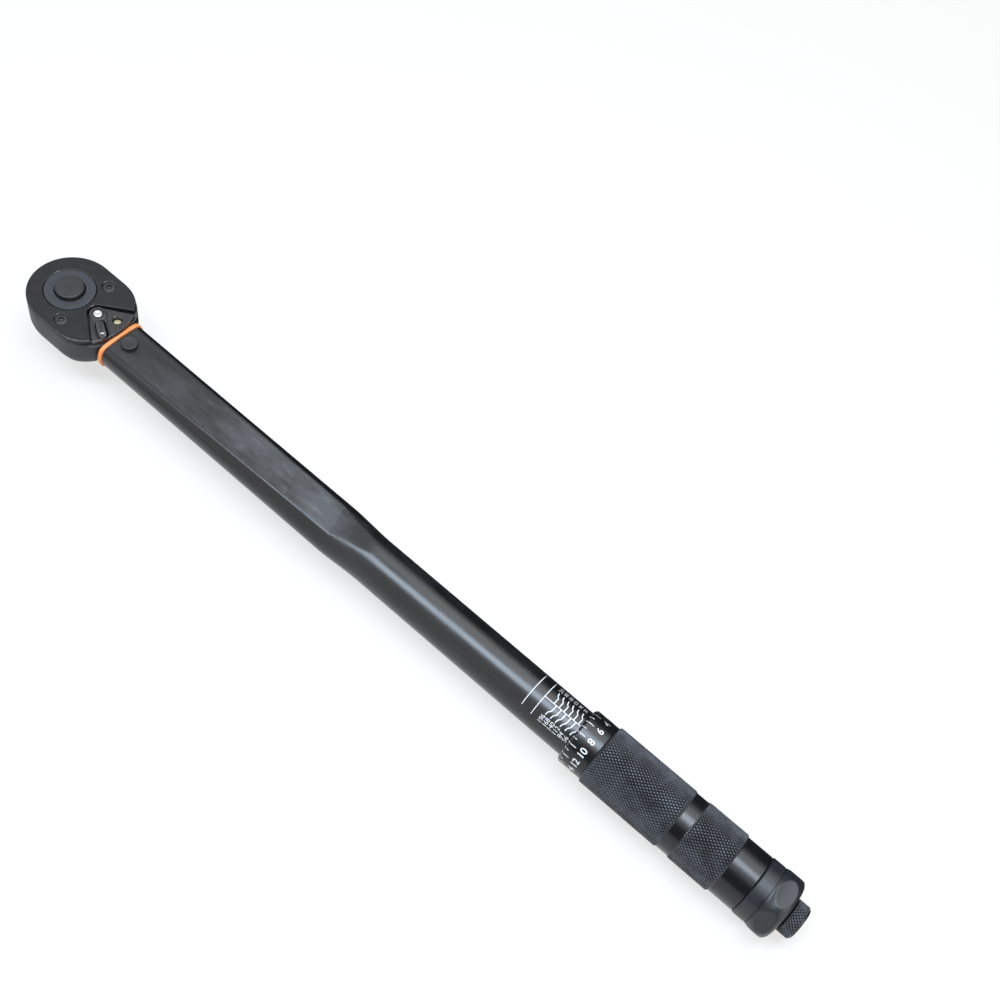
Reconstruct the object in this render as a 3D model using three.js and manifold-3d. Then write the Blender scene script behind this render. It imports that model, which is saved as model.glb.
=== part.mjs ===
// Click torque wrench, half-inch square drive, set by a micrometer grip.
// Millimetres, +X from the head to the grip, +Z to the side of the reversing lever.
// Origin: the middle of the drive square's end face. Pieces are drawn about the tube's axis,
// and the whole assembly is raised by that axis' height.
import * as THREE from 'three';
import { mergeVertices } from 'three/addons/utils/BufferGeometryUtils.js';
import Module from 'manifold-3d';

const wasm = await Module();
wasm.setup();

// Clearances
const gap = 0.3; // around every piece that seats in, turns in or slides in another
const gripGap = 0.35; // between the grip's bore and the tube
const overshoot = 1; // how far a cutter stands past the face it opens

// Tube: round, with its front stretch pressed flat over the head's arm
const tubeRadius = 11.25;
const tubeWall = 1.6;
const pressedLength = 137.5;
const rampLength = 19;
const pressedFront = { flat: 10.1, height: 6.8, width: 12.5 };
const pressedRear = { flat: 7.2, height: 8.4, width: 12.65 };

// Head
const headWall = 5.69; // around the gear's pocket
const headCentreX = 1.3;
const headSideLength = 12.5;
const headShoulder = 10.5;
const neckReach = 12.6; // from the lever's pin to the end of the neck
const neckHalfWidth = 11.8;
const headTop = 10.8;
const headBottom = -9.2;
const headBottomBevel = 3.4;
const coverThickness = 3;
const coverBevel = 0.5;
const floorThickness = 3.1;
const armFrontHalfWidth = 8.8;
const armRearHalfWidth = 5.4;
const armFrontHalfHeight = 4.7;
const armRearHalfHeight = 4.2;
const armShoulderLength = 16;
const armRoot = 3; // of the arm inside the neck

// Ratchet
const gearRadius = 14.4;
const gearTeeth = 40;
const toothDepth = 0.8;
const discRadius = 12.2;
const lowerJournalRadius = 11;
const journalProud = 0.8;
const squareSide = 12.7;
const squareLength = 15.5;
const squareBevel = 1;
const pawlPinOffset = 4.5;
const pawlHubRadius = 3.2;
const pawlHeight = 8.6;
const pawlReach = 35 * Math.PI / 180;
const pawlThickness = 3;
const pawlStandOff = 0.8;
const pawlLift = 2; // over the floor of the gear's pocket

// Quick release
const buttonRadius = 6.8;
const buttonProud = 2.3;
const buttonHeight = 5.1;
const buttonTravel = 2.5;
const stemNeckRadius = 1.4;
const stemTail = 0.8; // of the stem below the ball
const releaseSpringRoom = 3;
const ballRadius = 2.3;
const ballProud = 1.05;
const ballAboveTip = 8;
const ballTravel = 1.05;
const releaseWire = 0.7;

// Reversing lever
const leverSwing = 5.4 * Math.PI / 180;
const leverPinRadius = 2.1;
const leverPinProud = 0.25;
const leverPinLift = 0.5; // of its hole over the floor of the gear's pocket
const leverHubRadius = 4;
const fanHalfAngle = 34.5 * Math.PI / 180;
const fanArcRadius = 28;
const fanReach = 14.1;
const fanThickness = 1.9;
const fanGap = 0.2; // over the face that the cover seats on
const hubRise = 0.35;
const ribAngle = -28.3 * Math.PI / 180;
const ribWidth = 4.2;
const ribStart = 5.2;
const ribEnd = 14.3;
const ribRise = 2.6;
const fanHoleRadius = 2.15;
const fanHoleDistance = 9.45;
const fanHoleAngle = 28.4 * Math.PI / 180;
const windowHalfAngle = 36.2 * Math.PI / 180;
const windowHubRadius = 4.75;
const detentRadius = 1.8;
const detentLength = 3.4;
const detentSpringLength = 3.2;
const detentWire = 0.5;

// Cover screws
const screwAngle = 53.5 * Math.PI / 180;
const screwWall = 1.1; // between the gear's pocket and a screw hole
const screwHeadRadius = 2.85;
const screwShankRadius = 1.4;
const screwLength = 9;
const countersinkRadius = 3.45;
const countersinkDepth = 0.45;
const lobeRadius = 1.25;
const lobeDepth = 1.1;

// Click mechanism
const neckGap = 0.6; // room for the head to tilt in front of the ring
const pivotInset = 5.4;
const pivotRadius = 4;
const pivotProud = 1.75;
const pivotProudBelow = 0.4;
const clickSwing = 1.5 * Math.PI / 180;
const ringWidth = 2.1;
const ringProud = 0.8;
const linkLength = 10;
const linkRadius = 3.8;
const linkHalfHeight = 4.2;
const linkClearOfRamp = 1;
const seatFace = 0.6;
const pistonLength = 19.5;
const spigotLength = 4;
const springLength = 88;
const springWire = 3.4;
const springTurns = 12;
const springSteps = 10; // straight steps in a turn of wire

// Adjusting screw and nut
const seatLength = 7.2;
const thrustBallRadius = 4;
const thrustBallSink = 1.5;
const screwRadius = 5;
const threadDepth = 0.4;
const threadPitch = 2.6;
const turnsOut = 1;
const nutStandOff = 5.8; // from the screw's tip to the nut
const nutLength = 23.5;
const nutInset = 6;
const nutPinRadius = 1.5;
const nutPinWall = 1.5; // of the nut between its pins and its bore
const pinSink = 0.1; // of a pin's end below the face that it is driven from
const screwPastNut = 6;
const screwEndInset = 8; // from the grip's rear end
const lockBore = 2.7;
const lockBallRadius = 1.5;
const lockBallSink = 0.3; // of a lock ball in the groove that the wedge leaves it

// Grip
const gripOverlap = 38.4; // of the tube's rear end inside the grip
const thimbleWall = 1.77;
const thimbleLength = 12.4;
const thimbleBevel = 1.1;
const knurlWall = 2.7;
const frontKnurlLength = 41.4;
const grooveDepth = 0.5;
const grooveLength = 5.6;
const rearKnurlLength = 21;
const gripTailLength = 12;
const tailWall = 1.9;
const knurlChamfer = 0.8;
const plugLength = 30;
const screwFlangeRadius = 7.5;
const screwFlangeLength = 4;
const gripPinRadius = 1.5;
const crossPinSetBack = 3.5; // from the adjusting screw's end
const crossPinWall = 2; // of the plug between its pins and the lock rod

// End cap and lock knob
const capRingLength = 6;
const capRingStep = 0.35;
const capGrooveDepth = 0.5;
const capGrooveWidth = 0.6;
const capLength = 16.8;
const capFlare = 1.8;
const capFlareAt = 11.4;
const capEndRadius = 10.6;
const capFacets = 6;
const capFacetRadius = 26;
const capFacetDepth = 1.1;
const knobRadius = 7.85;
const knobLength = 6.6;
const knobChamfer = 0.7;
const knobRidges = 20;
const lockRodRadius = 2.4;
const lockLead = 1;
const wedgeLength = 4;

// Places worked out from the sizes above
const axisHeight = squareLength + journalProud - headBottom;
const squareTip = -axisHeight;
const coverSeat = headTop - coverThickness;
const pocketRadius = gearRadius + 1.7 * gap;
const headRadius = pocketRadius + headWall;
const screwDistance = pocketRadius + screwWall + screwShankRadius + gap;
const ballX = squareSide / 2 + ballProud - ballRadius;
const stemRadius = ballX - ballRadius - gap;
const leverPinX = gearRadius + pawlPinOffset;
const neckX = leverPinX + neckReach;
const tubeFront = neckX + neckGap + ringWidth + gap;
const pivotX = tubeFront + pivotInset;
const headFloor = headBottom + floorThickness;
const pawlBottom = headFloor + pawlLift;
const pawlTop = pawlBottom + pawlHeight;
const leverPinFloor = headFloor + leverPinLift;
const fanBottom = coverSeat + fanGap;
const fanTop = fanBottom + fanThickness;
const tubeFlatEnd = tubeFront + pressedLength;
const tubeRoundStart = tubeFlatEnd + rampLength;
const linkSeatX = tubeRoundStart + linkClearOfRamp - linkLength;
const tubeBore = tubeRadius - tubeWall;
const armEnd = linkSeatX - seatFace;
const pistonSeatX = linkSeatX + linkLength;
const pistonFront = pistonSeatX + seatFace;
const pistonRadius = tubeBore - gap;
const springRadius = tubeBore - 2 * gap - springWire / 2;
const spigotRadius = springRadius * Math.cos(Math.PI / springSteps) - springWire / 2 - gap;
const springFront = pistonFront + pistonLength + gap;
const seatFront = springFront + springLength + gap;
const thrustBallX = seatFront + seatLength + thrustBallRadius - thrustBallSink;
const screwFront = thrustBallX + thrustBallRadius + gap;
const nutFront = screwFront + nutStandOff;
const nutRear = nutFront + nutLength;
const nutPinX = (nutFront + nutRear) / 2;
const tubeRear = nutRear + nutInset;
const gripFront = tubeRear - gripOverlap;
const gripBore = tubeRadius + gripGap;
const gripRear = gripFront + thimbleLength + frontKnurlLength + grooveLength + rearKnurlLength
  + gripTailLength;
const screwRear = gripRear - screwEndInset;
const crossPinX = screwRear + crossPinSetBack;
const plugFront = gripRear - plugLength;
const plugRadius = gripBore - gap;
const capFront = gripRear + gap;
const capRear = capFront + capLength;
const knobFront = capRear + gap;
const knobRear = knobFront + knobLength;
const lockBallX = nutRear - threadPitch * turnsOut - 2.5 * lockBallRadius;
const lockBallOffset = lockRodRadius + lockBallRadius - lockBallSink;

// ---- tools ----

// Merges the corners of a closed geometry, and turns its faces outwards.
function closed(geometry) {
  const bare = geometry.index ? geometry.toNonIndexed() : geometry.clone();
  bare.deleteAttribute('normal');
  bare.deleteAttribute('uv');
  const merged = mergeVertices(bare);
  const index = Array.from(merged.index.array);
  const corners = [new THREE.Vector3(), new THREE.Vector3(), new THREE.Vector3()];
  const kept = [];
  let volume = 0;
  for (let i = 0; i < index.length; i += 3) {
    const triple = index.slice(i, i + 3);
    if (new Set(triple).size < 3) continue;
    triple.forEach((vertex, k) => corners[k].fromBufferAttribute(merged.attributes.position, vertex));
    volume += corners[0].dot(corners[1].clone().cross(corners[2]));
    kept.push(...triple);
  }
  if (volume < 0) kept.reverse();
  merged.setIndex(kept);
  return merged;
}

function solid(geometry) {
  const shell = closed(geometry);
  return new wasm.Manifold(new wasm.Mesh({
    numProp: 3,
    vertProperties: shell.attributes.position.array,
    triVerts: new Uint32Array(shell.index.array),
  }));
}

function geometryOf(manifold) {
  const mesh = manifold.getMesh();
  const geometry = new THREE.BufferGeometry();
  geometry.setAttribute('position', new THREE.BufferAttribute(mesh.vertProperties, 3));
  geometry.setIndex(new THREE.BufferAttribute(mesh.triVerts, 1));
  geometry.computeVertexNormals();
  return geometry;
}

const points = pairs => pairs.map(([a, b]) => new THREE.Vector2(a, b));

// Turned about X: the profile is a list of [radius, x].
const turnedX = (profile, facets = 28) =>
  solid(new THREE.LatheGeometry(points(profile), facets).rotateZ(-Math.PI / 2));

// Turned about an upright axis through (x, y): the profile is a list of [radius, z].
const turnedZ = (profile, x = 0, y = 0, facets = 28) =>
  solid(new THREE.LatheGeometry(points(profile), facets).rotateX(Math.PI / 2).translate(x, y, 0));

const rod = (x0, x1, r, facets = 28) => turnedX([[0, x0], [r, x0], [r, x1], [0, x1]], facets);
const post = (x, y, z0, z1, r, facets = 28) => turnedZ([[0, z0], [r, z0], [r, z1], [0, z1]], x, y, facets);

const slab = (shape, z0, z1, curveSegments = 12) =>
  solid(new THREE.ExtrudeGeometry(shape, { depth: z1 - z0, bevelEnabled: false, curveSegments })
    .translate(0, 0, z0));

const block = (x0, x1, y0, y1, z0, z1) =>
  solid(new THREE.BoxGeometry(x1 - x0, y1 - y0, z1 - z0)
    .translate((x0 + x1) / 2, (y0 + y1) / 2, (z0 + z1) / 2));

const polygon = pairs => new THREE.Shape(points(pairs));

// Skin over rings of equal count, closed by a flat cap at each end.
function skin(rings) {
  const count = rings[0].length;
  const position = rings.flat().flatMap(p => [p.x, p.y, p.z]);
  const index = [];
  for (let i = 0; i + 1 < rings.length; i++) {
    for (let j = 0; j < count; j++) {
      const a = i * count + j;
      const b = i * count + (j + 1) % count;
      index.push(a, b, b + count, a, b + count, a + count);
    }
  }
  const last = (rings.length - 1) * count;
  for (let j = 1; j + 1 < count; j++) {
    index.push(0, j + 1, j, last, last + j, last + j + 1);
  }
  const geometry = new THREE.BufferGeometry();
  geometry.setAttribute('position', new THREE.Float32BufferAttribute(position, 3));
  geometry.setIndex(index);
  return solid(geometry);
}

// Coil spring: a round wire carried along a helix, about X or about an upright axis.
function coil({ radius, wire, turns, length }) {
  class Helix extends THREE.Curve {
    getPoint(t, target = new THREE.Vector3()) {
      const angle = 2 * Math.PI * turns * t;
      const along = wire / 2 + (length - wire) * t;
      return target.set(radius * Math.cos(angle), radius * Math.sin(angle), along);
    }
  }
  const section = new THREE.Shape();
  section.absarc(0, 0, wire / 2, 0, 2 * Math.PI);
  return new THREE.ExtrudeGeometry(section, {
    steps: Math.round(turns * springSteps),
    curveSegments: 3,
    bevelEnabled: false,
    extrudePath: new Helix(),
  });
}

// ---- tube ----

const smooth = t => t * t * (3 - 2 * t);

// Section of the tube at x: top and bottom flats joined by round sides.
function tubeSize(x) {
  if (x <= tubeFlatEnd) {
    const t = (x - tubeFront) / pressedLength;
    const mix = (a, b) => a + (b - a) * t;
    return {
      flat: mix(pressedFront.flat, pressedRear.flat),
      height: mix(pressedFront.height, pressedRear.height),
      width: mix(pressedFront.width, pressedRear.width),
      crown: 0,
    };
  }
  const t = Math.min((x - tubeFlatEnd) / rampLength, 1);
  const crownHalf = tubeRadius * Math.sin(Math.PI / 24);
  const roundHeight = Math.sqrt(tubeRadius ** 2 - crownHalf ** 2);
  return {
    flat: pressedRear.flat + (crownHalf - pressedRear.flat) * t ** 2,
    height: pressedRear.height + (roundHeight - pressedRear.height) * t,
    width: pressedRear.width + (tubeRadius - pressedRear.width) * smooth(t),
    crown: t ** 3,
  };
}

function tubeRing(x, inset = 0, grow = 0) {
  const size = tubeSize(x);
  const height = size.height - inset + grow;
  const width = size.width - inset + grow;
  const flat = size.flat - inset * 0.3;
  const bulge = width - flat;
  const sideRadius = (height ** 2 + bulge ** 2) / (2 * bulge);
  const sideCentre = width - sideRadius;
  const reach = Math.atan2(height, flat - sideCentre);
  const flatSteps = 4;
  const sideSteps = 9;
  const ring = [];
  for (const side of [1, -1]) {
    for (let i = 0; i < sideSteps; i++) {
      const angle = -reach + 2 * reach * i / sideSteps;
      const y = side * (sideCentre + sideRadius * Math.cos(angle));
      ring.push(new THREE.Vector3(x, y, side * sideRadius * Math.sin(angle)));
    }
    for (let i = 0; i < flatSteps; i++) {
      const y = flat * (1 - 2 * i / flatSteps);
      const crown = Math.sqrt(Math.max(height ** 2 + flat ** 2 - y ** 2, 0)) - height;
      ring.push(new THREE.Vector3(x, side * y, side * (height + size.crown * crown)));
    }
  }
  return ring;
}

const tubeStations = [
  ...[0, 1].map(t => tubeFront + pressedLength * t),
  ...[0.25, 0.5, 0.75, 0.9, 1].map(t => tubeFlatEnd + rampLength * t),
];

function makeTube() {
  const outer = skin([...tubeStations, tubeRear].map(x => tubeRing(x)));
  const front = tubeFront - overshoot;
  const inner = skin([front, ...tubeStations, tubeRear + overshoot].map(x => tubeRing(x, tubeWall)));
  const pivotHole = post(pivotX, 0, -tubeRadius * 2, tubeRadius * 2, pivotRadius + gap);
  const pinHole = rod(-tubeRadius * 2, tubeRadius * 2, nutPinRadius + gap, 16)
    .rotate([0, 0, 90]).translate([nutPinX, 0, 0]);
  return outer.subtract(inner).subtract(pivotHole).subtract(pinHole);
}

function makeNeckRing() {
  const rear = tubeFront - gap;
  const rings = [rear - ringWidth, rear];
  const size = x => Math.max(x, tubeFront);
  const at = (x, inset, grow) => tubeRing(size(x), inset, grow).map(p => p.setX(x));
  const outer = skin(rings.map(x => at(x, 0, ringProud)));
  const inner = skin([rings[0] - overshoot, rings[1] + overshoot].map(x => at(x, tubeWall, 0)));
  return outer.subtract(inner);
}

// ---- head ----

function headOutline() {
  const shape = new THREE.Shape();
  const sideEnd = headCentreX + headSideLength;
  shape.moveTo(neckX, -neckHalfWidth);
  shape.quadraticCurveTo(sideEnd + headShoulder, -headRadius, sideEnd, -headRadius);
  shape.lineTo(headCentreX, -headRadius);
  shape.absarc(headCentreX, 0, headRadius, -Math.PI / 2, Math.PI / 2, true);
  shape.lineTo(sideEnd, headRadius);
  shape.quadraticCurveTo(sideEnd + headShoulder, headRadius, neckX, neckHalfWidth);
  return shape;
}

// One level of the head's outline, drawn in by inset along the outline's own normals.
function headRing(z, inset) {
  const outline = headOutline().getPoints(10)
    .filter((p, i, all) => i === 0 || p.distanceTo(all[i - 1]) > 0.01);
  return outline.map((p, i) => {
    const before = outline[(i + outline.length - 1) % outline.length];
    const after = outline[(i + 1) % outline.length];
    const into = p.clone().sub(before).normalize();
    const out = after.clone().sub(p).normalize();
    const mitre = into.add(out).normalize();
    const stretch = 1 / Math.max(mitre.dot(out), 0.5);
    return new THREE.Vector3(p.x + mitre.y * inset * stretch, p.y - mitre.x * inset * stretch, z);
  });
}

// The head's outline carried upright, with a rounded edge at the low end and the high end.
function headBlock(z0, z1, lowBevel, highBevel) {
  const rings = [];
  const steps = 3;
  for (let i = 0; i <= (lowBevel ? steps : 0); i++) {
    const angle = lowBevel ? Math.PI / 2 * i / steps : Math.PI / 2;
    rings.push(headRing(z0 + lowBevel * (1 - Math.cos(angle)), lowBevel * (1 - Math.sin(angle))));
  }
  for (let i = 0; i <= (highBevel ? steps : 0); i++) {
    const angle = highBevel ? Math.PI / 2 * i / steps : 0;
    rings.push(headRing(z1 - highBevel * (1 - Math.sin(angle)), highBevel * (1 - Math.cos(angle))));
  }
  return skin(rings);
}

const ringSector = (inner, outer, half) => {
  const shape = new THREE.Shape();
  shape.absarc(0, 0, outer, -half, half);
  shape.absarc(0, 0, inner, half, -half, true);
  return shape;
};

const atLeverPin = (distance, angle) => [
  leverPinX + distance * Math.cos(angle),
  distance * Math.sin(angle),
];

const screwPlaces = [1, -1].map(side => [
  screwDistance * Math.cos(screwAngle),
  side * screwDistance * Math.sin(screwAngle),
]);
const [detentX, detentY] = atLeverPin(fanHoleDistance, fanHoleAngle - leverSwing / 2);

function armShape() {
  const start = neckX - armRoot;
  const wide = pivotX + armShoulderLength;
  return polygon([
    [start, -armFrontHalfWidth], [pivotX + pivotRadius * 1.5, -armFrontHalfWidth],
    [wide, -armRearHalfWidth], [armEnd, -armRearHalfWidth],
    [armEnd, armRearHalfWidth], [wide, armRearHalfWidth],
    [pivotX + pivotRadius * 1.5, armFrontHalfWidth], [start, armFrontHalfWidth],
  ]);
}

function makeHeadBody() {
  const top = coverSeat + overshoot;
  const pocketWall = gearRadius + pawlStandOff + pawlThickness + 4 * gap;
  let body = headBlock(headBottom, coverSeat, headBottomBevel, 0);
  const armSide = polygon([
    [neckX - armRoot, -armFrontHalfHeight], [pivotX + armShoulderLength, -armFrontHalfHeight],
    [armEnd, -armRearHalfHeight], [armEnd, armRearHalfHeight],
    [pivotX + armShoulderLength, armFrontHalfHeight], [neckX - armRoot, armFrontHalfHeight],
  ]);
  const wide = 2 * armFrontHalfWidth;
  const armHeight = slab(armSide, -wide, wide).rotate([90, 0, 0]);
  body = body.add(slab(armShape(), -wide, wide).intersect(armHeight));
  body = body.subtract(post(0, 0, headFloor, top, pocketRadius, 48));
  body = body.subtract(post(0, 0, headBottom - overshoot, top, lowerJournalRadius + gap, 48));
  const pawlRoom = ringSector(lowerJournalRadius, pocketWall, pawlReach + leverSwing);
  body = body.subtract(slab(pawlRoom, pawlBottom - gap, top));
  body = body.subtract(post(leverPinX, 0, pawlBottom - gap, top, pawlHubRadius + 2 * gap));
  body = body.subtract(post(leverPinX, 0, leverPinFloor, top, leverPinRadius + gap, 16));
  for (const [x, y] of screwPlaces) {
    body = body.subtract(post(x, y, headTop - screwLength - gap, top, screwShankRadius + gap, 12));
  }
  const detentFloor = coverSeat - detentLength - detentSpringLength - 2 * gap;
  body = body.subtract(post(detentX, detentY, detentFloor, top, detentRadius + gap, 16));
  const tall = 2 * armFrontHalfHeight;
  body = body.subtract(post(pivotX, 0, -tall, tall, pivotRadius + gap));
  return body.subtract(post(linkSeatX, 0, -tall, tall, linkRadius + gap, 24));
}

// Opening of the cover over the lever: two edges that touch a circle about the lever's pin.
function windowShape() {
  const far = neckX - leverPinX + 12;
  const shape = new THREE.Shape();
  const edge = side => {
    const angle = side * windowHalfAngle;
    const normal = angle + side * Math.PI / 2;
    const [x, y] = atLeverPin(windowHubRadius, normal);
    return [x + far * Math.cos(angle), y + far * Math.sin(angle)];
  };
  shape.absarc(leverPinX, 0, windowHubRadius, windowHalfAngle + Math.PI / 2,
    2 * Math.PI - windowHalfAngle - Math.PI / 2);
  shape.lineTo(...edge(-1));
  shape.lineTo(...edge(1));
  return shape;
}

function makeCover() {
  const low = coverSeat - overshoot;
  const high = headTop + overshoot;
  let cover = headBlock(coverSeat, headTop, 0, coverBevel);
  cover = cover.subtract(post(0, 0, low, high, discRadius + gap, 48));
  cover = cover.subtract(slab(windowShape(), low, high));
  for (const [x, y] of screwPlaces) {
    cover = cover.subtract(turnedZ([
      [0, low], [screwShankRadius + gap, low], [screwShankRadius + gap, headTop - 2.1],
      [countersinkRadius, headTop - countersinkDepth], [countersinkRadius, high], [0, high],
    ], x, y, 24));
  }
  return cover;
}

function makeCoverScrew([x, y]) {
  const top = headTop - countersinkDepth;
  const screw = turnedZ([
    [0, headTop - screwLength], [screwShankRadius, headTop - screwLength],
    [screwShankRadius, headTop - 2], [screwHeadRadius, top - 0.35], [screwHeadRadius, top], [0, top],
  ], x, y, 24);
  const lobes = new THREE.Shape(Array.from({ length: 12 }, (_, i) => new THREE.Vector2(
    (i % 2 ? 0.7 : 1) * lobeRadius * Math.cos(i * Math.PI / 6),
    (i % 2 ? 0.7 : 1) * lobeRadius * Math.sin(i * Math.PI / 6),
  )));
  return screw.subtract(slab(lobes, top - lobeDepth, top + overshoot).translate([x, y, 0]));
}

// ---- ratchet and quick release ----

const ballZ = squareTip + ballAboveTip;
const stemEnd = ballZ - ballRadius - stemTail;
const buttonTop = headTop + buttonProud;
const buttonBottom = buttonTop - buttonHeight;
const buttonPocket = buttonBottom - buttonTravel - releaseSpringRoom;

function makeDriveGear() {
  const gearBottom = headFloor + gap;
  const gearTop = coverSeat - gap;
  const journalBottom = headBottom - journalProud;
  const teeth = new THREE.Shape(Array.from({ length: 2 * gearTeeth }, (_, i) => {
    const r = i % 2 ? gearRadius - toothDepth : gearRadius;
    const angle = i * Math.PI / gearTeeth;
    return new THREE.Vector2(r * Math.cos(angle), r * Math.sin(angle));
  }));
  const half = squareSide / 2;
  const inner = half - squareBevel;
  let gear = slab(teeth, gearBottom, gearTop);
  gear = gear.add(post(0, 0, gearTop - 1, headTop, discRadius, 48));
  gear = gear.add(post(0, 0, journalBottom, gearBottom + 1, lowerJournalRadius, 48));
  const squareSides = slab(polygon([
    [-half, -inner], [-inner, -half], [inner, -half], [half, -inner],
    [half, inner], [inner, half], [-inner, half], [-half, inner],
  ]), squareTip, journalBottom + 1);
  gear = gear.add(squareSides);
  gear = gear.subtract(post(0, 0, buttonPocket, headTop + overshoot, buttonRadius + gap));
  gear = gear.subtract(post(0, 0, stemEnd - buttonTravel - gap, headTop, stemRadius + gap, 20));
  const ballHole = rod(0, half + overshoot, ballRadius + gap, 20).translate([0, 0, ballZ]);
  return gear.subtract(ballHole);
}

function makeReleaseButton() {
  const edge = 0.5;
  const neckLow = ballZ + 0.5;
  const neckHigh = neckLow + buttonTravel + 1.9;
  return turnedZ([
    [0, stemEnd], [stemRadius, stemEnd], [stemRadius, neckLow], [stemNeckRadius, neckLow + 0.3],
    [stemNeckRadius, neckHigh], [stemRadius, neckHigh + 0.4], [stemRadius, buttonBottom],
    [buttonRadius, buttonBottom], [buttonRadius, buttonTop - edge], [buttonRadius - edge, buttonTop],
    [0, buttonTop],
  ]);
}

const makeDriveBall = () =>
  solid(new THREE.SphereGeometry(ballRadius, 12, 8).translate(ballX, 0, ballZ));

function makeReleaseSpring() {
  const length = buttonBottom - buttonPocket - 2 * gap;
  const radius = (buttonRadius + stemRadius) / 2;
  return coil({ radius, wire: releaseWire, turns: 3, length })
    .translate(0, 0, buttonPocket + gap);
}

function makePawl() {
  const inner = gearRadius + pawlStandOff;
  const arms = slab(ringSector(inner, inner + pawlThickness, pawlReach), pawlBottom, pawlTop);
  const hub = post(leverPinX, 0, pawlBottom, pawlTop, pawlHubRadius, 24);
  const hole = post(leverPinX, 0, pawlBottom - overshoot, pawlTop + overshoot, leverPinRadius + gap, 16);
  const rest = -leverSwing / 2 * 180 / Math.PI;
  return arms.add(hub).subtract(post(0, 0, pawlBottom - overshoot, pawlTop + overshoot, inner, 48))
    .subtract(hole).translate([-leverPinX, 0, 0]).rotate([0, 0, rest]).translate([leverPinX, 0, 0]);
}

// ---- reversing lever ----

function fanShape(rest) {
  const along = fanReach + leverPinX;
  const centre = along - fanArcRadius;
  const outline = [];
  const edgeEnd = side => {
    const angle = side * fanHalfAngle;
    const start = atLeverPin(leverHubRadius, angle + side * Math.PI / 2);
    const direction = [Math.cos(angle), Math.sin(angle)];
    const dx = start[0] - centre;
    const b = dx * direction[0] + start[1] * direction[1];
    const c = dx ** 2 + start[1] ** 2 - fanArcRadius ** 2;
    const reach = -b + Math.sqrt(b * b - c);
    return [start, [start[0] + reach * direction[0], start[1] + reach * direction[1]]];
  };
  const [lowStart, lowEnd] = edgeEnd(-1);
  const [highStart, highEnd] = edgeEnd(1);
  outline.push(lowStart, lowEnd);
  const half = Math.atan2(highEnd[1], highEnd[0] - centre);
  for (let i = 1; i < 8; i++) {
    const angle = -half + 2 * half * i / 8;
    outline.push([centre + fanArcRadius * Math.cos(angle), fanArcRadius * Math.sin(angle)]);
  }
  outline.push(highEnd, highStart);
  const turn = ([x, y]) => [
    leverPinX + (x - leverPinX) * Math.cos(rest) - y * Math.sin(rest),
    (x - leverPinX) * Math.sin(rest) + y * Math.cos(rest),
  ];
  return polygon(outline.map(turn));
}

function makeLever() {
  const rest = -leverSwing / 2;
  const hubTop = fanTop + hubRise;
  const bossBottom = pawlTop + gap;
  let lever = slab(fanShape(rest), fanBottom, fanTop);
  lever = lever.add(post(leverPinX, 0, bossBottom, hubTop, leverHubRadius - 0.9, 24));
  lever = lever.add(post(leverPinX, 0, fanBottom, hubTop, leverHubRadius, 24));
  const angle = ribAngle + rest;
  const [sx, sy] = [-Math.sin(angle), Math.cos(angle)];
  const at = (distance, offset) => {
    const [x, y] = atLeverPin(distance, angle);
    return [x + offset * sx, y + offset * sy];
  };
  const web = polygon([
    at(0.5, -leverHubRadius), at(ribEnd - 2, -ribWidth / 2),
    at(ribEnd - 2, ribWidth / 2), at(0.5, leverHubRadius),
  ]);
  lever = lever.add(slab(web, fanTop - 0.5, hubTop));
  const straight = ribEnd - ribStart - ribWidth;
  const rib = solid(new THREE.CapsuleGeometry(ribWidth / 2, straight, 4, 12)
    .rotateZ(-Math.PI / 2).scale(1, 1, ribRise / (ribWidth / 2)))
    .translate([(ribStart + ribEnd) / 2, 0, fanTop])
    .rotate([0, 0, angle * 180 / Math.PI]).translate([leverPinX, 0, 0]);
  const wide = 4 * ribEnd;
  lever = lever.add(rib.subtract(block(-wide, 2 * wide, -wide, wide, -wide, fanTop - 0.5)));
  lever = lever.subtract(post(leverPinX, 0, bossBottom - overshoot, headTop + 5, leverPinRadius + gap, 20));
  const [hx, hy] = atLeverPin(fanHoleDistance, fanHoleAngle + rest);
  return lever.subtract(post(hx, hy, fanBottom - overshoot, headTop, fanHoleRadius, 20));
}

function makeLeverPin() {
  const bottom = leverPinFloor + gap;
  const top = fanTop + hubRise + leverPinProud;
  return turnedZ([
    [0, bottom], [leverPinRadius, bottom], [leverPinRadius, top - 0.4], [leverPinRadius * 0.6, top], [0, top],
  ], leverPinX, 0, 20);
}

const makeDetentPlunger = () => post(
  detentX, detentY, coverSeat - detentLength, coverSeat, detentRadius, 16);

const makeDetentSpring = () => coil({
  radius: detentRadius - detentWire, wire: detentWire, turns: 3, length: detentSpringLength,
}).translate(detentX, detentY, coverSeat - detentLength - detentSpringLength - gap);

// ---- click mechanism ----

const pivotHeight = tubeSize(pivotX).height;
const makePivotPin = () => turnedZ([
  [0, -pivotHeight - pivotProudBelow], [pivotRadius, -pivotHeight - pivotProudBelow],
  [pivotRadius, pivotHeight + pivotProud - 0.5],
  [pivotRadius - 0.5, pivotHeight + pivotProud], [0, pivotHeight + pivotProud],
], pivotX, 0, 32);

function makeToggleLink() {
  const shape = new THREE.Shape();
  shape.absarc(linkSeatX + linkLength, 0, linkRadius, -Math.PI / 2, Math.PI / 2);
  shape.absarc(linkSeatX, 0, linkRadius, Math.PI / 2, 3 * Math.PI / 2);
  return slab(shape, -linkHalfHeight, linkHalfHeight, 10);
}

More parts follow.
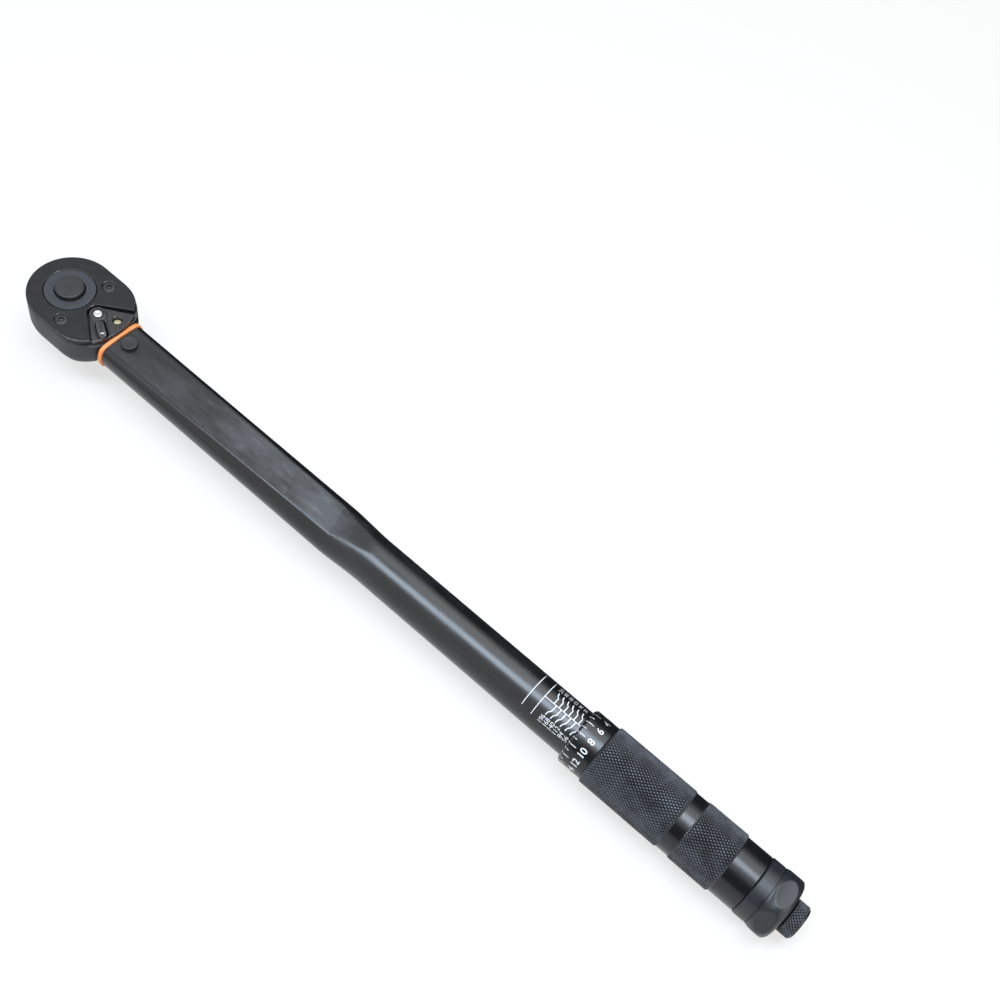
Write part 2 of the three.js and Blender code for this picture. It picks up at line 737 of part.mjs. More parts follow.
function makePiston() {
  const rear = pistonFront + pistonLength;
  const body = turnedX([
    [0, pistonFront], [pistonRadius - 1, pistonFront], [pistonRadius, pistonFront + 1],
    [pistonRadius, rear], [spigotRadius, rear], [spigotRadius, rear + spigotLength],
    [0, rear + spigotLength],
  ]);
  const tall = 2 * tubeRadius;
  return body.subtract(post(pistonSeatX, 0, -tall, tall, linkRadius + gap, 24));
}

const makeMainSpring = () =>
  coil({ radius: springRadius, wire: springWire, turns: springTurns, length: springLength })
    .rotateY(Math.PI / 2).translate(springFront, 0, 0);

// ---- adjusting screw and nut ----

function makeSpringSeat() {
  const rear = seatFront + seatLength;
  const cup = Math.sqrt(thrustBallRadius ** 2 - (thrustBallRadius - thrustBallSink) ** 2) + 2 * gap;
  return turnedX([
    [0, seatFront - spigotLength], [spigotRadius, seatFront - spigotLength], [spigotRadius, seatFront],
    [pistonRadius, seatFront], [pistonRadius, rear], [cup, rear], [cup, rear - thrustBallSink - gap],
    [0, rear - thrustBallSink - gap],
  ]);
}

const makeThrustBall = () =>
  solid(new THREE.SphereGeometry(thrustBallRadius, 12, 8).translate(thrustBallX, 0, 0));

function makeAdjustingScrew() {
  const flangeFront = plugFront + gap;
  const threads = Math.floor((nutRear + screwPastNut - screwFront) / threadPitch);
  const profile = [
    [0, screwFront], [screwRadius - 1, screwFront], [screwRadius - threadDepth, screwFront + 1],
  ];
  for (let i = 1; i < threads; i++) {
    const x = screwFront + i * threadPitch;
    profile.push([screwRadius - threadDepth, x], [screwRadius, x + threadPitch / 2]);
  }
  profile.push(
    [screwRadius, flangeFront], [screwFlangeRadius, flangeFront],
    [screwFlangeRadius, flangeFront + screwFlangeLength], [screwRadius, flangeFront + screwFlangeLength],
    [screwRadius, screwRear], [0, screwRear],
  );
  let screw = turnedX(profile, 14);
  screw = screw.subtract(rod(lockBallX - 3 * lockBallRadius, gripRear, lockBore, 20));
  const ballHoles = post(lockBallX, 0, -tubeRadius, tubeRadius, lockBallRadius + gap, 16);
  return screw.subtract(ballHoles);
}

function makeAdjustingNut() {
  const bore = screwRadius + gap;
  const outer = tubeBore - gap;
  const nut = turnedX([
    [bore, nutFront], [outer, nutFront], [outer, nutRear], [bore, nutRear], [bore, nutFront],
  ]);
  return [1, -1].reduce((piece, side) => piece.subtract(
    rod(bore + nutPinWall, tubeRadius, nutPinRadius + gap, 16)
      .rotate([0, 0, side * 90]).translate([nutPinX, 0, 0]),
  ), nut);
}

function makeNutPin(side) {
  return rod(screwRadius + nutPinWall + 2 * gap, tubeRadius - pinSink, nutPinRadius, 16)
    .rotate([0, 0, side * 90]).translate([nutPinX, 0, 0]);
}

const makeLockBall = side => solid(new THREE.SphereGeometry(lockBallRadius, 12, 8)
  .translate(lockBallX, 0, side * lockBallOffset));

// ---- grip ----

const thimbleRadius = gripBore + thimbleWall;
const knurlRadius = gripBore + knurlWall;
const tailRadius = gripBore + tailWall;

function makeGripSleeve() {
  const c = knurlChamfer;
  const knurlFront = gripFront + thimbleLength;
  const grooveFront = knurlFront + frontKnurlLength;
  const rearKnurlFront = grooveFront + grooveLength;
  const tailFront = rearKnurlFront + rearKnurlLength;
  const grooveRadius = knurlRadius - grooveDepth;
  const sleeve = turnedX([
    [gripBore, gripFront], [thimbleRadius - thimbleBevel, gripFront],
    [thimbleRadius, gripFront + thimbleBevel],
    [thimbleRadius, knurlFront], [knurlRadius, knurlFront + c], [knurlRadius, grooveFront - c],
    [grooveRadius, grooveFront], [grooveRadius, rearKnurlFront], [knurlRadius, rearKnurlFront + c],
    [knurlRadius, tailFront - c], [tailRadius, tailFront], [tailRadius, gripRear],
    [gripBore, gripRear], [gripBore, gripFront],
  ], 32);
  return sleeve.subtract(crossPin(tailRadius * 2, gripPinRadius + gap));
}

// Cross pin through the sleeve's tail and the plug.
const crossPin = (reach, radius) => post(crossPinX, 0, -reach, reach, radius, 16);

function makeGripPlug() {
  const rear = gripRear;
  const flangeEnd = plugFront + screwFlangeLength + 2 * gap;
  const bore = screwRadius + gap;
  const screwEnd = screwRear + gap;
  const plug = turnedX([
    [screwFlangeRadius + gap, plugFront], [plugRadius, plugFront], [plugRadius, rear],
    [lockRodRadius + gap, rear], [lockRodRadius + gap, screwEnd], [bore, screwEnd],
    [bore, flangeEnd], [screwFlangeRadius + gap, flangeEnd], [screwFlangeRadius + gap, plugFront],
  ], 32);
  return [1, -1].reduce((piece, side) => piece.subtract(
    post(crossPinX, 0, side * (lockRodRadius + crossPinWall), side * 2 * plugRadius,
      gripPinRadius + gap, 16),
  ), plug);
}

const makeGripPin = side => {
  const inner = lockRodRadius + crossPinWall + gap;
  const outer = tailRadius - pinSink;
  return post(crossPinX, 0, side * inner, side * outer, gripPinRadius, 16);
};

// ---- end cap and lock ----

function makeEndCap() {
  const ringRadius = tailRadius + capRingStep;
  const flareRadius = tailRadius + capFlare;
  const ringEnd = capFront + capRingLength;
  const grooveEnd = ringEnd + capGrooveWidth;
  const flareX = capFront + capFlareAt;
  const bore = lockRodRadius + gap;
  const profile = [
    [bore, capFront], [tailRadius, capFront], [ringRadius, capFront + 0.6], [ringRadius, ringEnd],
    [ringRadius - capGrooveDepth, ringEnd + 0.1], [ringRadius - capGrooveDepth, grooveEnd - 0.1],
    [ringRadius, grooveEnd],
  ];
  const flareSteps = 4;
  for (let i = 1; i <= flareSteps; i++) {
    const t = i / flareSteps;
    profile.push([ringRadius + (flareRadius - ringRadius) * smooth(t), grooveEnd + (flareX - grooveEnd) * t]);
  }
  const tailSteps = 4;
  for (let i = 1; i <= tailSteps; i++) {
    const t = i / tailSteps;
    profile.push([
      flareRadius - (flareRadius - capEndRadius) * t ** 2,
      flareX + (capRear - flareX) * Math.sin(t * Math.PI / 2),
    ]);
  }
  profile.push([bore, capRear], [bore, capFront]);
  let cap = turnedX(profile, 24);
  for (let i = 0; i < capFacets; i++) {
    const angle = 2 * Math.PI * i / capFacets;
    const distance = flareRadius - capFacetDepth + capFacetRadius;
    const scoop = rod(-capLength, capLength, capFacetRadius, 24).rotate([0, 0, 90]);
    const place = scoop.translate([flareX, 0, distance]).rotate([angle * 180 / Math.PI, 0, 0]);
    const keep = rod(grooveEnd, capRear + overshoot, 2 * flareRadius, 24);
    cap = cap.subtract(place.intersect(keep));
  }
  return cap;
}

const makeLockRod = () => rod(lockBallX + wedgeLength + gap, knobFront, lockRodRadius, 20);

function makeLockWedge() {
  const front = lockBallX - 1;
  return turnedX([
    [0, front], [1, front], [1.4, front + 1.8], [lockRodRadius, lockBallX + wedgeLength - 0.8],
    [lockRodRadius, lockBallX + wedgeLength], [0, lockBallX + wedgeLength],
  ], 20);
}

function makeLockKnob() {
  const face = knobRear - knobChamfer;
  const outline = new THREE.Shape(Array.from({ length: 2 * knobRidges }, (_, i) => {
    const r = i % 2 ? knobRadius - 0.35 : knobRadius;
    const angle = i * Math.PI / knobRidges;
    return new THREE.Vector2(r * Math.cos(angle), r * Math.sin(angle));
  }));
  const grip = slab(outline, 0, knobLength).rotate([0, 90, 0]).translate([knobFront + gap, 0, 0]);
  const trim = turnedX([
    [0, knobFront], [knobRadius - knobChamfer, knobFront + gap], [knobRadius, knobFront + gap + knobChamfer],
    [knobRadius, face + gap], [knobRadius - knobChamfer, knobRear + gap], [0, knobRear + gap],
  ], 48);
  return grip.intersect(trim);
}

// ---- materials ----

const finish = (color, roughness, metalness) =>
  new THREE.MeshStandardMaterial({ color, roughness, metalness });
const phosphate = finish(0x33343a, 0.55, 0.6);
const satinDisc = finish(0x474a52, 0.45, 0.7);
const blackLacquer = finish(0x17181b, 0.25, 0.3);
const blackSatin = finish(0x232428, 0.5, 0.3);
const orangeRubber = finish(0xff8a3c, 0.6, 0);
const brightSteel = finish(0xd9d9dc, 0.3, 1);
const springSteel = finish(0x8a8d92, 0.4, 1);
const brass = finish(0xc9ac6a, 0.35, 1);

// ---- assembly ----

const wrench = new THREE.Group();
wrench.position.z = axisHeight;

function place(name, shape, material) {
  const geometry = shape.isBufferGeometry ? closed(shape) : geometryOf(shape);
  const mesh = new THREE.Mesh(geometry, material);
  mesh.name = name;
  wrench.add(mesh);
}

place('tube', makeTube(), blackLacquer);
place('neck_ring', makeNeckRing(), orangeRubber);
place('pivot_pin', makePivotPin(), phosphate);
place('head_body', makeHeadBody(), phosphate);
place('cover_plate', makeCover(), phosphate);
place('cover_screw_left', makeCoverScrew(screwPlaces[0]), phosphate);
place('cover_screw_right', makeCoverScrew(screwPlaces[1]), phosphate);
place('drive_gear', makeDriveGear(), satinDisc);
place('release_button', makeReleaseButton(), phosphate);
place('release_spring', makeReleaseSpring(), springSteel);
place('drive_ball', makeDriveBall(), brightSteel);
place('pawl', makePawl(), springSteel);
place('reverse_lever', makeLever(), phosphate);
place('lever_pin', makeLeverPin(), brightSteel);
place('detent_plunger', makeDetentPlunger(), brass);
place('detent_spring', makeDetentSpring(), springSteel);
place('toggle_link', makeToggleLink(), springSteel);
place('piston', makePiston(), springSteel);
place('main_spring', makeMainSpring(), springSteel);
place('spring_seat', makeSpringSeat(), springSteel);
place('thrust_ball', makeThrustBall(), brightSteel);
place('adjusting_nut', makeAdjustingNut(), brass);
place('nut_pin_left', makeNutPin(1), springSteel);
place('nut_pin_right', makeNutPin(-1), springSteel);
place('adjusting_screw', makeAdjustingScrew(), springSteel);
place('lock_ball_upper', makeLockBall(1), brightSteel);
place('lock_ball_lower', makeLockBall(-1), brightSteel);
place('lock_wedge', makeLockWedge(), springSteel);
place('lock_rod', makeLockRod(), springSteel);
place('grip_sleeve', makeGripSleeve(), blackLacquer);
place('grip_plug', makeGripPlug(), springSteel);
place('grip_pin_upper', makeGripPin(1), springSteel);
place('grip_pin_lower', makeGripPin(-1), springSteel);
place('end_cap', makeEndCap(), blackSatin);
place('lock_knob', makeLockKnob(), phosphate);

export default wrench;
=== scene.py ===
import math
import bmesh
import bpy
import numpy as np
from mathutils import Matrix, Vector


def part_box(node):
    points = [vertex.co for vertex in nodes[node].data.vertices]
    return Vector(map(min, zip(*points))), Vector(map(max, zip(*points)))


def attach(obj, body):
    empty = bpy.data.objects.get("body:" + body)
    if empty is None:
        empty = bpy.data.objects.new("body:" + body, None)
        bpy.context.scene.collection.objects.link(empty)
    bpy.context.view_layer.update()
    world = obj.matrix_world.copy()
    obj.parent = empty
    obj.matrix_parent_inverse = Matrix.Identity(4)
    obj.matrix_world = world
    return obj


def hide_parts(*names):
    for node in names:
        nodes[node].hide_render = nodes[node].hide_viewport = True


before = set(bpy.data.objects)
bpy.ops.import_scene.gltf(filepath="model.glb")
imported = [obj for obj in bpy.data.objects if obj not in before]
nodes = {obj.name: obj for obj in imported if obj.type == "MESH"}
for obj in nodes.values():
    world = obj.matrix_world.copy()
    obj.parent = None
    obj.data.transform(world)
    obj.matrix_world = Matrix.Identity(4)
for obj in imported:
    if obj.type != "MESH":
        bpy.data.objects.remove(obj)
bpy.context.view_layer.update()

print('frame loaded:', len(nodes), 'nodes')

# Pieces are worked out in millimetres, with heights counted from the tube's axis.
mm = 0.001
tubeLow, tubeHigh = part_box('tube')
axisHeight = (tubeLow.z + tubeHigh.z) / 2 / mm


# Lowest and highest corner of a CAD node, in the same millimetres.
def box(node):
    low, high = (np.array(corner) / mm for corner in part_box(node))
    return low - [0, 0, axisHeight], high - [0, 0, axisHeight]


def middleOf(node):
    low, high = box(node)
    return (low + high) / 2


# Easing from 0 to 1 between two places: 3t^2 - 2t^3, flat outside them.
def ease(value, start, end):
    t = np.clip((value - start) / (end - start), 0, 1)
    return t * t * (3 - 2 * t)


# The lower of two surfaces, with the crease between them rounded over a width.
def softLower(a, b, width):
    near = np.clip(1 - np.abs(a - b) / width, 0, None)
    return np.minimum(a, b) - near ** 2 * width / 4


# Angles all the way round, and points on a circle of radius 1.
def fullTurn(steps):
    return np.linspace(0, 2 * np.pi, steps, endpoint=False)


def circle(angle):
    return np.column_stack([np.cos(angle), np.sin(angle)])


# Points round the tube's axis: y = -r sin a, z = r cos a.
def roundTube(place, radius, angle):
    return np.stack(np.broadcast_arrays(place, -radius * np.sin(angle), radius * np.cos(angle)), -1)


# A flat line carried to a height, or to one height for each of its points.
def level(line, height):
    return np.column_stack([line, np.broadcast_to(height, len(line))])


# Corners (a, b, radius): each corner with a radius becomes an arc that touches both its sides.
def rounded(corners, steps=5, loop=False):
    places = np.array([corner[:2] for corner in corners], float)
    count, line = len(corners), []
    for i, corner in enumerate(corners):
        radius = corner[2] if len(corner) > 2 else 0
        if not radius or (not loop and i in (0, count - 1)):
            line.append(places[i:i + 1])
            continue
        back = places[i - 1] - places[i]
        on = places[(i + 1) % count] - places[i]
        back, on = back / np.linalg.norm(back), on / np.linalg.norm(on)
        half = math.acos(np.clip(back @ on, -1, 1)) / 2
        middle = places[i] + (back + on) / np.linalg.norm(back + on) * radius / math.sin(half)
        first, last = (places[i] + way * radius / math.tan(half) - middle for way in (back, on))
        start = math.atan2(first[1], first[0])
        sweep = (math.atan2(last[1], last[0]) - start + math.pi) % (2 * math.pi) - math.pi
        angle = start + sweep * np.linspace(0, 1, steps + 1)
        line.append(middle + radius * circle(angle))
    return np.vstack(line)


# Skin over a grid of rings. It closes on itself with loop; otherwise each end gets a middle point.
def skin(grid, loop=False):
    rows, columns = grid.shape[:2]
    index = np.arange(rows * columns).reshape(rows, columns)
    low = index if loop else index[:-1]
    high = np.roll(index, -1, axis=0) if loop else index[1:]
    quads = np.stack([low, np.roll(low, -1, 1), np.roll(high, -1, 1), high], -1).reshape(-1, 4)
    points, faces = grid.reshape(-1, 3), quads.tolist()
    if not loop:
        ends = rows * columns + np.arange(2)
        points = np.vstack([points, grid[0].mean(0), grid[-1].mean(0)])
        for ring, end in ((index[0], ends[0]), (index[-1], ends[1])):
            faces += np.column_stack([ring, np.roll(ring, -1), np.full(columns, end)]).tolist()
    return points, faces


# Diamond knurl on a grid: two families of slanting grooves, each repeating every six corners.
# A corner's height is its distance from the nearest groove, and the diamonds' tops are cut flat.
def knurlHeight(rows, columns):
    i, j = np.mgrid[:rows, :columns]
    first, second = (i + j) % 6, (i - j) % 6
    near = np.minimum(np.minimum(first, 6 - first), np.minimum(second, 6 - second))
    return np.minimum(near, 1.4) / 1.4


# Cuts the squares of knurled rows along the slant of their grooves.
def knurlCut(faces, rows, columns, knurled, firstRow):
    made = []
    for number, face in enumerate(faces):
        row, column = divmod(number, columns)
        if len(face) < 4 or row >= rows or not (knurled[row] and knurled[(row + 1) % rows]):
            made.append(face)
        elif (row - firstRow[row] + column) % 2:
            made += [[face[0], face[1], face[3]], [face[1], face[2], face[3]]]
        else:
            made += [[face[0], face[1], face[2]], [face[0], face[2], face[3]]]
    return made


# A profile of (radius, place) goes round the tube's axis.
def turnedX(profile, steps=96):
    radius, place = np.asarray(profile, float).T[..., None]
    return skin(roundTube(place, radius, fullTurn(steps)))


# A profile of (radius, height) goes round an upright axis. A radius may have a value for each step.
def turnedZ(profile, middle=(0, 0), steps=96):
    ring = circle(fullTurn(steps))
    return skin(np.stack([level(middle + np.reshape(radius, (-1, 1)) * ring, height)
                          for radius, height in profile]))


# An outline moved inwards along the mean of its sides' normals, longer at sharp corners.
def drawnIn(outline, depth):
    step = np.roll(outline, -1, axis=0) - outline
    side = step / np.linalg.norm(step, axis=1, keepdims=True)
    mitre = side + np.roll(side, 1, axis=0)
    mitre /= np.linalg.norm(mitre, axis=1, keepdims=True)
    stretch = 1 / np.clip((mitre * side).sum(1), 0.4, None)
    return outline + np.column_stack([-mitre[:, 1], mitre[:, 0]]) * (depth * stretch)[:, None]


# An outline carried upright, with a quarter round at its low edge and its high edge.
def slab(outline, low, high, lowRound=0.0, highRound=0.0, steps=4):
    turn = np.linspace(0, np.pi / 2, steps + 1)
    rows = [(lowRound * (1 - math.sin(a)), low + lowRound * (1 - math.cos(a))) for a in turn] \
        if lowRound else [(0, low)]
    rows += [(highRound * (1 - math.cos(a)), high - highRound * (1 - math.sin(a))) for a in turn] \
        if highRound else [(0, high)]
    return skin(np.stack([level(drawnIn(outline, depth), z) for depth, z in rows]))


# Several shells in one list of points and faces.
def together(*shells):
    starts = np.cumsum([0] + [len(points) for points, _ in shells])
    faces = [[corner + int(start) for corner in face]
             for (_, shell), start in zip(shells, starts) for face in shell]
    return np.vstack([points for points, _ in shells]), faces


def addObject(name, data):
    made = bpy.data.objects.new(name, data)
    bpy.context.scene.collection.objects.link(made)
    return made


def makeObject(name, shell):
    points, faces = shell
    mesh = bpy.data.meshes.new(name)
    mesh.from_pydata(((points + [0, 0, axisHeight]) * mm).tolist(), [], faces)
    work = bmesh.new()
    work.from_mesh(mesh)
    bmesh.ops.remove_doubles(work, verts=work.verts, dist=2e-7)
    bmesh.ops.recalc_face_normals(work, faces=work.faces)
    work.to_mesh(mesh)
    work.free()
    return addObject(name, mesh)


# The mesh that an object's modifiers or its text make.
def madeMesh(piece):
    bpy.context.view_layer.update()
    return bpy.data.meshes.new_from_object(
        piece.evaluated_get(bpy.context.evaluated_depsgraph_get()))


# Keeps what the piece's modifiers make as its mesh.
def settle(piece):
    made, old = madeMesh(piece), piece.data
    piece.modifiers.clear()
    piece.data = made
    bpy.data.meshes.remove(old)
    made.name = piece.name


# Cuts shells out of a piece, or joins them to it.
def carve(piece, *shells, operation='DIFFERENCE'):
    for shell in shells:
        cutter = makeObject('cutter', shell)
        change = piece.modifiers.new('change', 'BOOLEAN')
        change.operation = operation
        change.solver = 'EXACT'
        change.object = cutter
        settle(piece)
        bpy.data.meshes.remove(cutter.data)


# The places of a piece's points, back in millimetres from the tube's axis.
def pointsOf(piece):
    spot = np.zeros(len(piece.data.vertices) * 3, np.float32)
    piece.data.vertices.foreach_get('co', spot)
    return (spot.reshape(-1, 3) / mm - [0, 0, axisHeight]).T


# Marks are values from 0 to 1 that a material reads.
def setMark(piece, name, values, domain='POINT'):
    piece.data.attributes.new(name, 'FLOAT', domain).data.foreach_set(
        'value', values.astype(np.float32))


# Marks the narrow slanting faces round a piece's upper edge, where its finish is rubbed.
def markEdges(piece, top, reach=0.45):
    faces = piece.data.polygons
    normal, centre = (np.zeros(len(faces) * 3, np.float32) for _ in range(2))
    faces.foreach_get('normal', normal)
    faces.foreach_get('center', centre)
    tilt = np.abs(normal[2::3])
    high = centre[2::3] / mm - axisHeight
    setMark(piece, 'edge', (tilt > 0.2) & (tilt < 0.95) & (high > top - reach), 'FACE')


# The last step of each piece: shading, soft up to an angle, material, body, and its nodes.
def finishPiece(piece, body, material, standsFor=(), crease=32):
    work = bmesh.new()
    work.from_mesh(piece.data)
    bmesh.ops.remove_doubles(work, verts=work.verts, dist=1e-6)
    bmesh.ops.dissolve_degenerate(work, edges=work.edges, dist=1e-7)
    work.to_mesh(piece.data)
    work.free()
    piece.data.shade_smooth()
    piece.data.set_sharp_from_angle(angle=math.radians(crease))
    change = piece.modifiers.new('evenNormals', 'WEIGHTED_NORMAL')
    change.keep_sharp = True
    settle(piece)
    piece.data.materials.clear()
    piece.data.materials.append(material)
    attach(piece, body)
    if standsFor:
        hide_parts(*standsFor)
    return piece


# A socket that takes part in sums: each operator adds a Math node.
class Wire:
    def __init__(self, paint, socket):
        self.paint, self.socket = paint, socket

    def math(self, operation, *values):
        return self.paint.node('ShaderNodeMath', {'operation': operation}, values)

    def __add__(self, other):
        return self.math('ADD', self, other)

    def __rsub__(self, other):
        return self.math('SUBTRACT', other, self)

    def __mul__(self, other):
        return self.math('MULTIPLY', self, other)

    def __pow__(self, other):
        return self.math('POWER', self, other)

    __radd__ = __add__
    __rmul__ = __mul__

    def clipped(self):
        return self.math('MINIMUM', self.math('MAXIMUM', self, 0.0), 1.0)

    # 0 below the first value, 1 above the second, eased between.
    def between(self, low, high):
        return self.paint.node('ShaderNodeMapRange', {'interpolation_type': 'SMOOTHSTEP'},
                               {0: self, 1: low, 2: high})


# A material's nodes. node() sets a node's settings, and then its sockets' values or links.
class Paint:
    def __init__(self, tree):
        self.tree = tree
        tree.nodes.clear()

    def node(self, kind, settings=None, sockets=(), output=0):
        made = self.tree.nodes.new(kind)
        for key, value in (settings or {}).items():
            setattr(made, key, value)
        pairs = sockets.items() if isinstance(sockets, dict) else enumerate(sockets)
        for key, value in pairs:
            if isinstance(value, Wire):
                self.tree.links.new(value.socket, made.inputs[key])
            else:
                made.inputs[key].default_value = value
        return Wire(self, made.outputs[output]) if len(made.outputs) else made

    def place(self, scale=(1, 1, 1), turn=(0, 0, 0)):
        spot = self.node('ShaderNodeTexCoord', output='Object')
        return self.node('ShaderNodeMapping', sockets={'Vector': spot, 'Scale': scale,
                                                       'Rotation': turn})

    def parts(self):
        spot = self.node('ShaderNodeTexCoord', output='Object')
        split = self.node('ShaderNodeSeparateXYZ', sockets=[spot])
        sockets = split.socket.node.outputs
        return [Wire(self, socket) * 1000.0 for socket in sockets]

    # Noise with its grain in millimetres.
    def noise(self, grain, detail=3.0, rough=0.5, stretch=(1, 1, 1), turn=(0, 0, 0)):
        return self.node('ShaderNodeTexNoise', sockets={
            'Vector': self.place(stretch, turn), 'Scale': 1000 / grain, 'Detail': detail,
            'Roughness': rough})

    def mark(self, name):
        return self.node('ShaderNodeAttribute', {'attribute_name': name}, output='Fac')

    def mix(self, factor, first, second):
        return self.node('ShaderNodeMix', {'data_type': 'RGBA'},
                         {0: factor, 6: first, 7: second}, output=2)

    # 1 where the camera sees it, straight or in a reflection, and 0 where it only gives light.
    def seen(self):
        path = self.node('ShaderNodeLightPath', output='Is Camera Ray')
        rays = path.socket.node.outputs
        for name in ('Is Glossy Ray', 'Is Transmission Ray'):
            path = path + Wire(self, rays[name])
        return path.clipped()


def grey(level, blue=0.0):
    return (level * (1 - blue * 0.5), level, level * (1 + blue), 1)


# A finish whose colour and roughness vary. height is in units of bump millimetres.
def makeFinish(name, build, specular=0.5, metallic=0.0):
    material = bpy.data.materials.new(name)
    material.use_nodes = True
    paint = Paint(material.node_tree)
    colour, roughness, height, bump, extra = build(paint)
    sockets = {'Base Color': colour, 'Roughness': roughness, 'Metallic': metallic,
               'Specular IOR Level': specular, **extra}
    if height is not None:
        sockets['Normal'] = paint.node('ShaderNodeBump', sockets={
            'Strength': 1.0, 'Distance': bump * mm, 'Height': height})
    shader = paint.node('ShaderNodeBsdfPrincipled', sockets=sockets)
    paint.node('ShaderNodeOutputMaterial', sockets=[shader])
    return material


# Matte black phosphate on forged steel: a dark grey with fine crystals and faint cloudy patches.
# Edges are rubbed to a dark shine.
phosphate = {'dark': 0.008, 'light': 0.024, 'crystal': 0.35, 'cloud': 6.0, 'bump': 0.03,
             'rough': 0.42, 'rubbed': 0.11, 'blue': 0.06}


def phosphateNodes(values):
    def build(paint):
        fine = paint.noise(values['crystal'], 4.0, 0.65)
        cloud = paint.noise(values['cloud'], 3.0).between(0.3, 0.7)
        edge = paint.mark('edge')
        mixed = fine.between(0.3, 0.7) * 0.5 + cloud * 0.5
        colour = paint.mix(mixed, grey(values['dark']), grey(values['light'], values['blue']))
        colour = paint.mix(edge, colour, grey(values['rubbed']))
        rough = values['rough'] + fine * 0.14 + cloud * 0.05
        return colour, rough * (1 - edge * 0.65), fine, values['bump'], {'Metallic': edge}
    return build


headMatte = makeFinish('headMatte', phosphateNodes(phosphate))
coverMatte = makeFinish('coverMatte', phosphateNodes({
    **phosphate, 'dark': 0.004, 'light': 0.014}), specular=0.32)
leverMatte = makeFinish('leverMatte', phosphateNodes({
    **phosphate, 'dark': 0.006, 'light': 0.02, 'crystal': 0.3, 'cloud': 4.0, 'bump': 0.015,
    'rough': 0.27, 'blue': 0.16}), specular=0.6)

# Satin blue-black of the turning disc, with faint rings from the lathe.
disc = {'dark': 0.036, 'light': 0.056, 'ring': 0.45}


def discNodes(paint):
    x, y, _ = paint.parts()
    radius = (x * x + y * y) ** 0.5
    rings = radius.math('SINE', radius * (2 * math.pi / disc['ring']))
    fine = paint.noise(0.4, 3.0)
    colour = paint.mix(fine.between(0.3, 0.7), grey(disc['dark'], 0.14), grey(disc['light'], 0.18))
    return colour, 0.36 + fine * 0.14, rings * 0.5 + fine, 0.012, {}


satinDisc = makeFinish('satinDisc', discNodes, metallic=0.35)


# Tube: the pressed part's section at each end, and how far the crease at its flats is rounded.
tubeSizes = {
    'round': 11.25, 'wall': 1.6, 'pressed': 137.5, 'rampEnd': 155.5, 'roundBy': 161, 'lean': 2.6,
    'front': {'flat': 9.7, 'height': 6.8, 'width': 12.4, 'haze': 10.1},
    'rear': {'flat': 7.2, 'height': 8.4, 'width': 12.65, 'haze': 7.2},
    'crease': {'front': 3.4, 'rear': 0.75, 'over': 85, 'ramp': 0.9},
}


# Glossy black lacquer, dulled on the pressed flats by cloudy scuffs. Towards the rear of the flats
# the veil is painted lighter: real scuffs plus a painted sheen of the key light.
def tubeNodes(paint):
    haze = paint.mark('haze')
    cloud = paint.noise(13.0, 4.0, 0.6, (0.45, 1, 1), (0, 0, 0.5)).between(0.38, 0.62)
    streak = paint.noise(2.4, 4.0, 0.6, (0.12, 1, 1), (0, 0, 0.35)).between(0.3, 0.75)
    fine = paint.noise(0.3, 3.0)
    scuff = paint.noise(5.0, 4.0, 0.7, (0.5, 1, 1), (0, 0, -0.6)).between(0.52, 0.74)
    x, _, _ = paint.parts()
    # From x 30 to 175 mm the flats grow hazier and their veil lighter: partly wear, partly painted
    # sheen.
    worn = x.between(30.0, 175.0)
    veilAndSheen = haze * (cloud * 0.4 + scuff * 0.45 + streak * 0.25) * (0.2 + worn * 0.8)
    colour = paint.mix(veilAndSheen.clipped(), grey(0.006, 0.05), grey(0.12, 0.08))
    hazy = haze * (0.35 + worn * 0.65)
    rough = 0.2 + hazy * (0.1 + streak * 0.12 + cloud * 0.1) + fine * 0.05 + cloud * 0.02
    return colour, rough, fine * 0.35 + streak * 0.3 + cloud, 0.012, {}


tubeBlack = makeFinish('tubeBlack', tubeNodes, specular=0.55)


# Glossy black of the grip, duller on the knurls and thin on the diamonds' tops.
def gripNodes(paint):
    knurl = paint.mark('knurl')
    peak = paint.mark('peak')
    fine = paint.noise(0.5, 3.0)
    cloud = paint.noise(7.0, 3.0).between(0.3, 0.7)
    worn = (peak * (0.35 + cloud * 0.65) * (0.4 + fine)).clipped()
    base = paint.mix(knurl, grey(0.008, 0.08), grey(0.012, 0.1))
    colour = paint.mix(worn, base, grey(0.115, 0.14))
    rough = 0.22 + fine * 0.06 + knurl * (0.06 + fine * 0.06)
    return colour, rough, fine + cloud * 0.5, 0.01, {}


gripBlack = makeFinish('gripBlack', gripNodes)


def satinNodes(paint):
    fine = paint.noise(0.35, 4.0, 0.6)
    cloud = paint.noise(5.0, 3.0).between(0.3, 0.7)
    colour = paint.mix(fine * 0.6 + cloud * 0.4, grey(0.010, 0.2), grey(0.026, 0.24))
    return colour, 0.33 + fine * 0.12 + cloud * 0.05, fine, 0.012, {}


capSatin = makeFinish('capSatin', satinNodes, specular=0.55)
knobBlack = makeFinish('knobBlack', gripNodes)


def rubberNodes(paint):
    fine = paint.noise(0.6, 4.0, 0.6)
    cloud = paint.noise(6.0, 2.0).between(0.3, 0.7)
    colour = paint.mix(fine * 0.5 + cloud * 0.5, (0.93, 0.26, 0.07, 1), (1.0, 0.40, 0.14, 1))
    return colour, 0.48 + fine * 0.12, fine + cloud * 0.4, 0.02, {}


orangeRubber = makeFinish('orangeRubber', rubberNodes, specular=0.45)


# Plain metals: a ground or drawn surface with fine scratches along one way.
def metalNodes(dark, light, rough, stretch):
    def build(paint):
        scratch = paint.noise(0.5, 4.0, 0.6, stretch)
        cloud = paint.noise(4.0, 2.0)
        colour = paint.mix(scratch * 0.6 + cloud * 0.4, (*dark, 1), (*light, 1))
        return colour, rough + scratch * 0.12, scratch, 0.008, {}
    return build


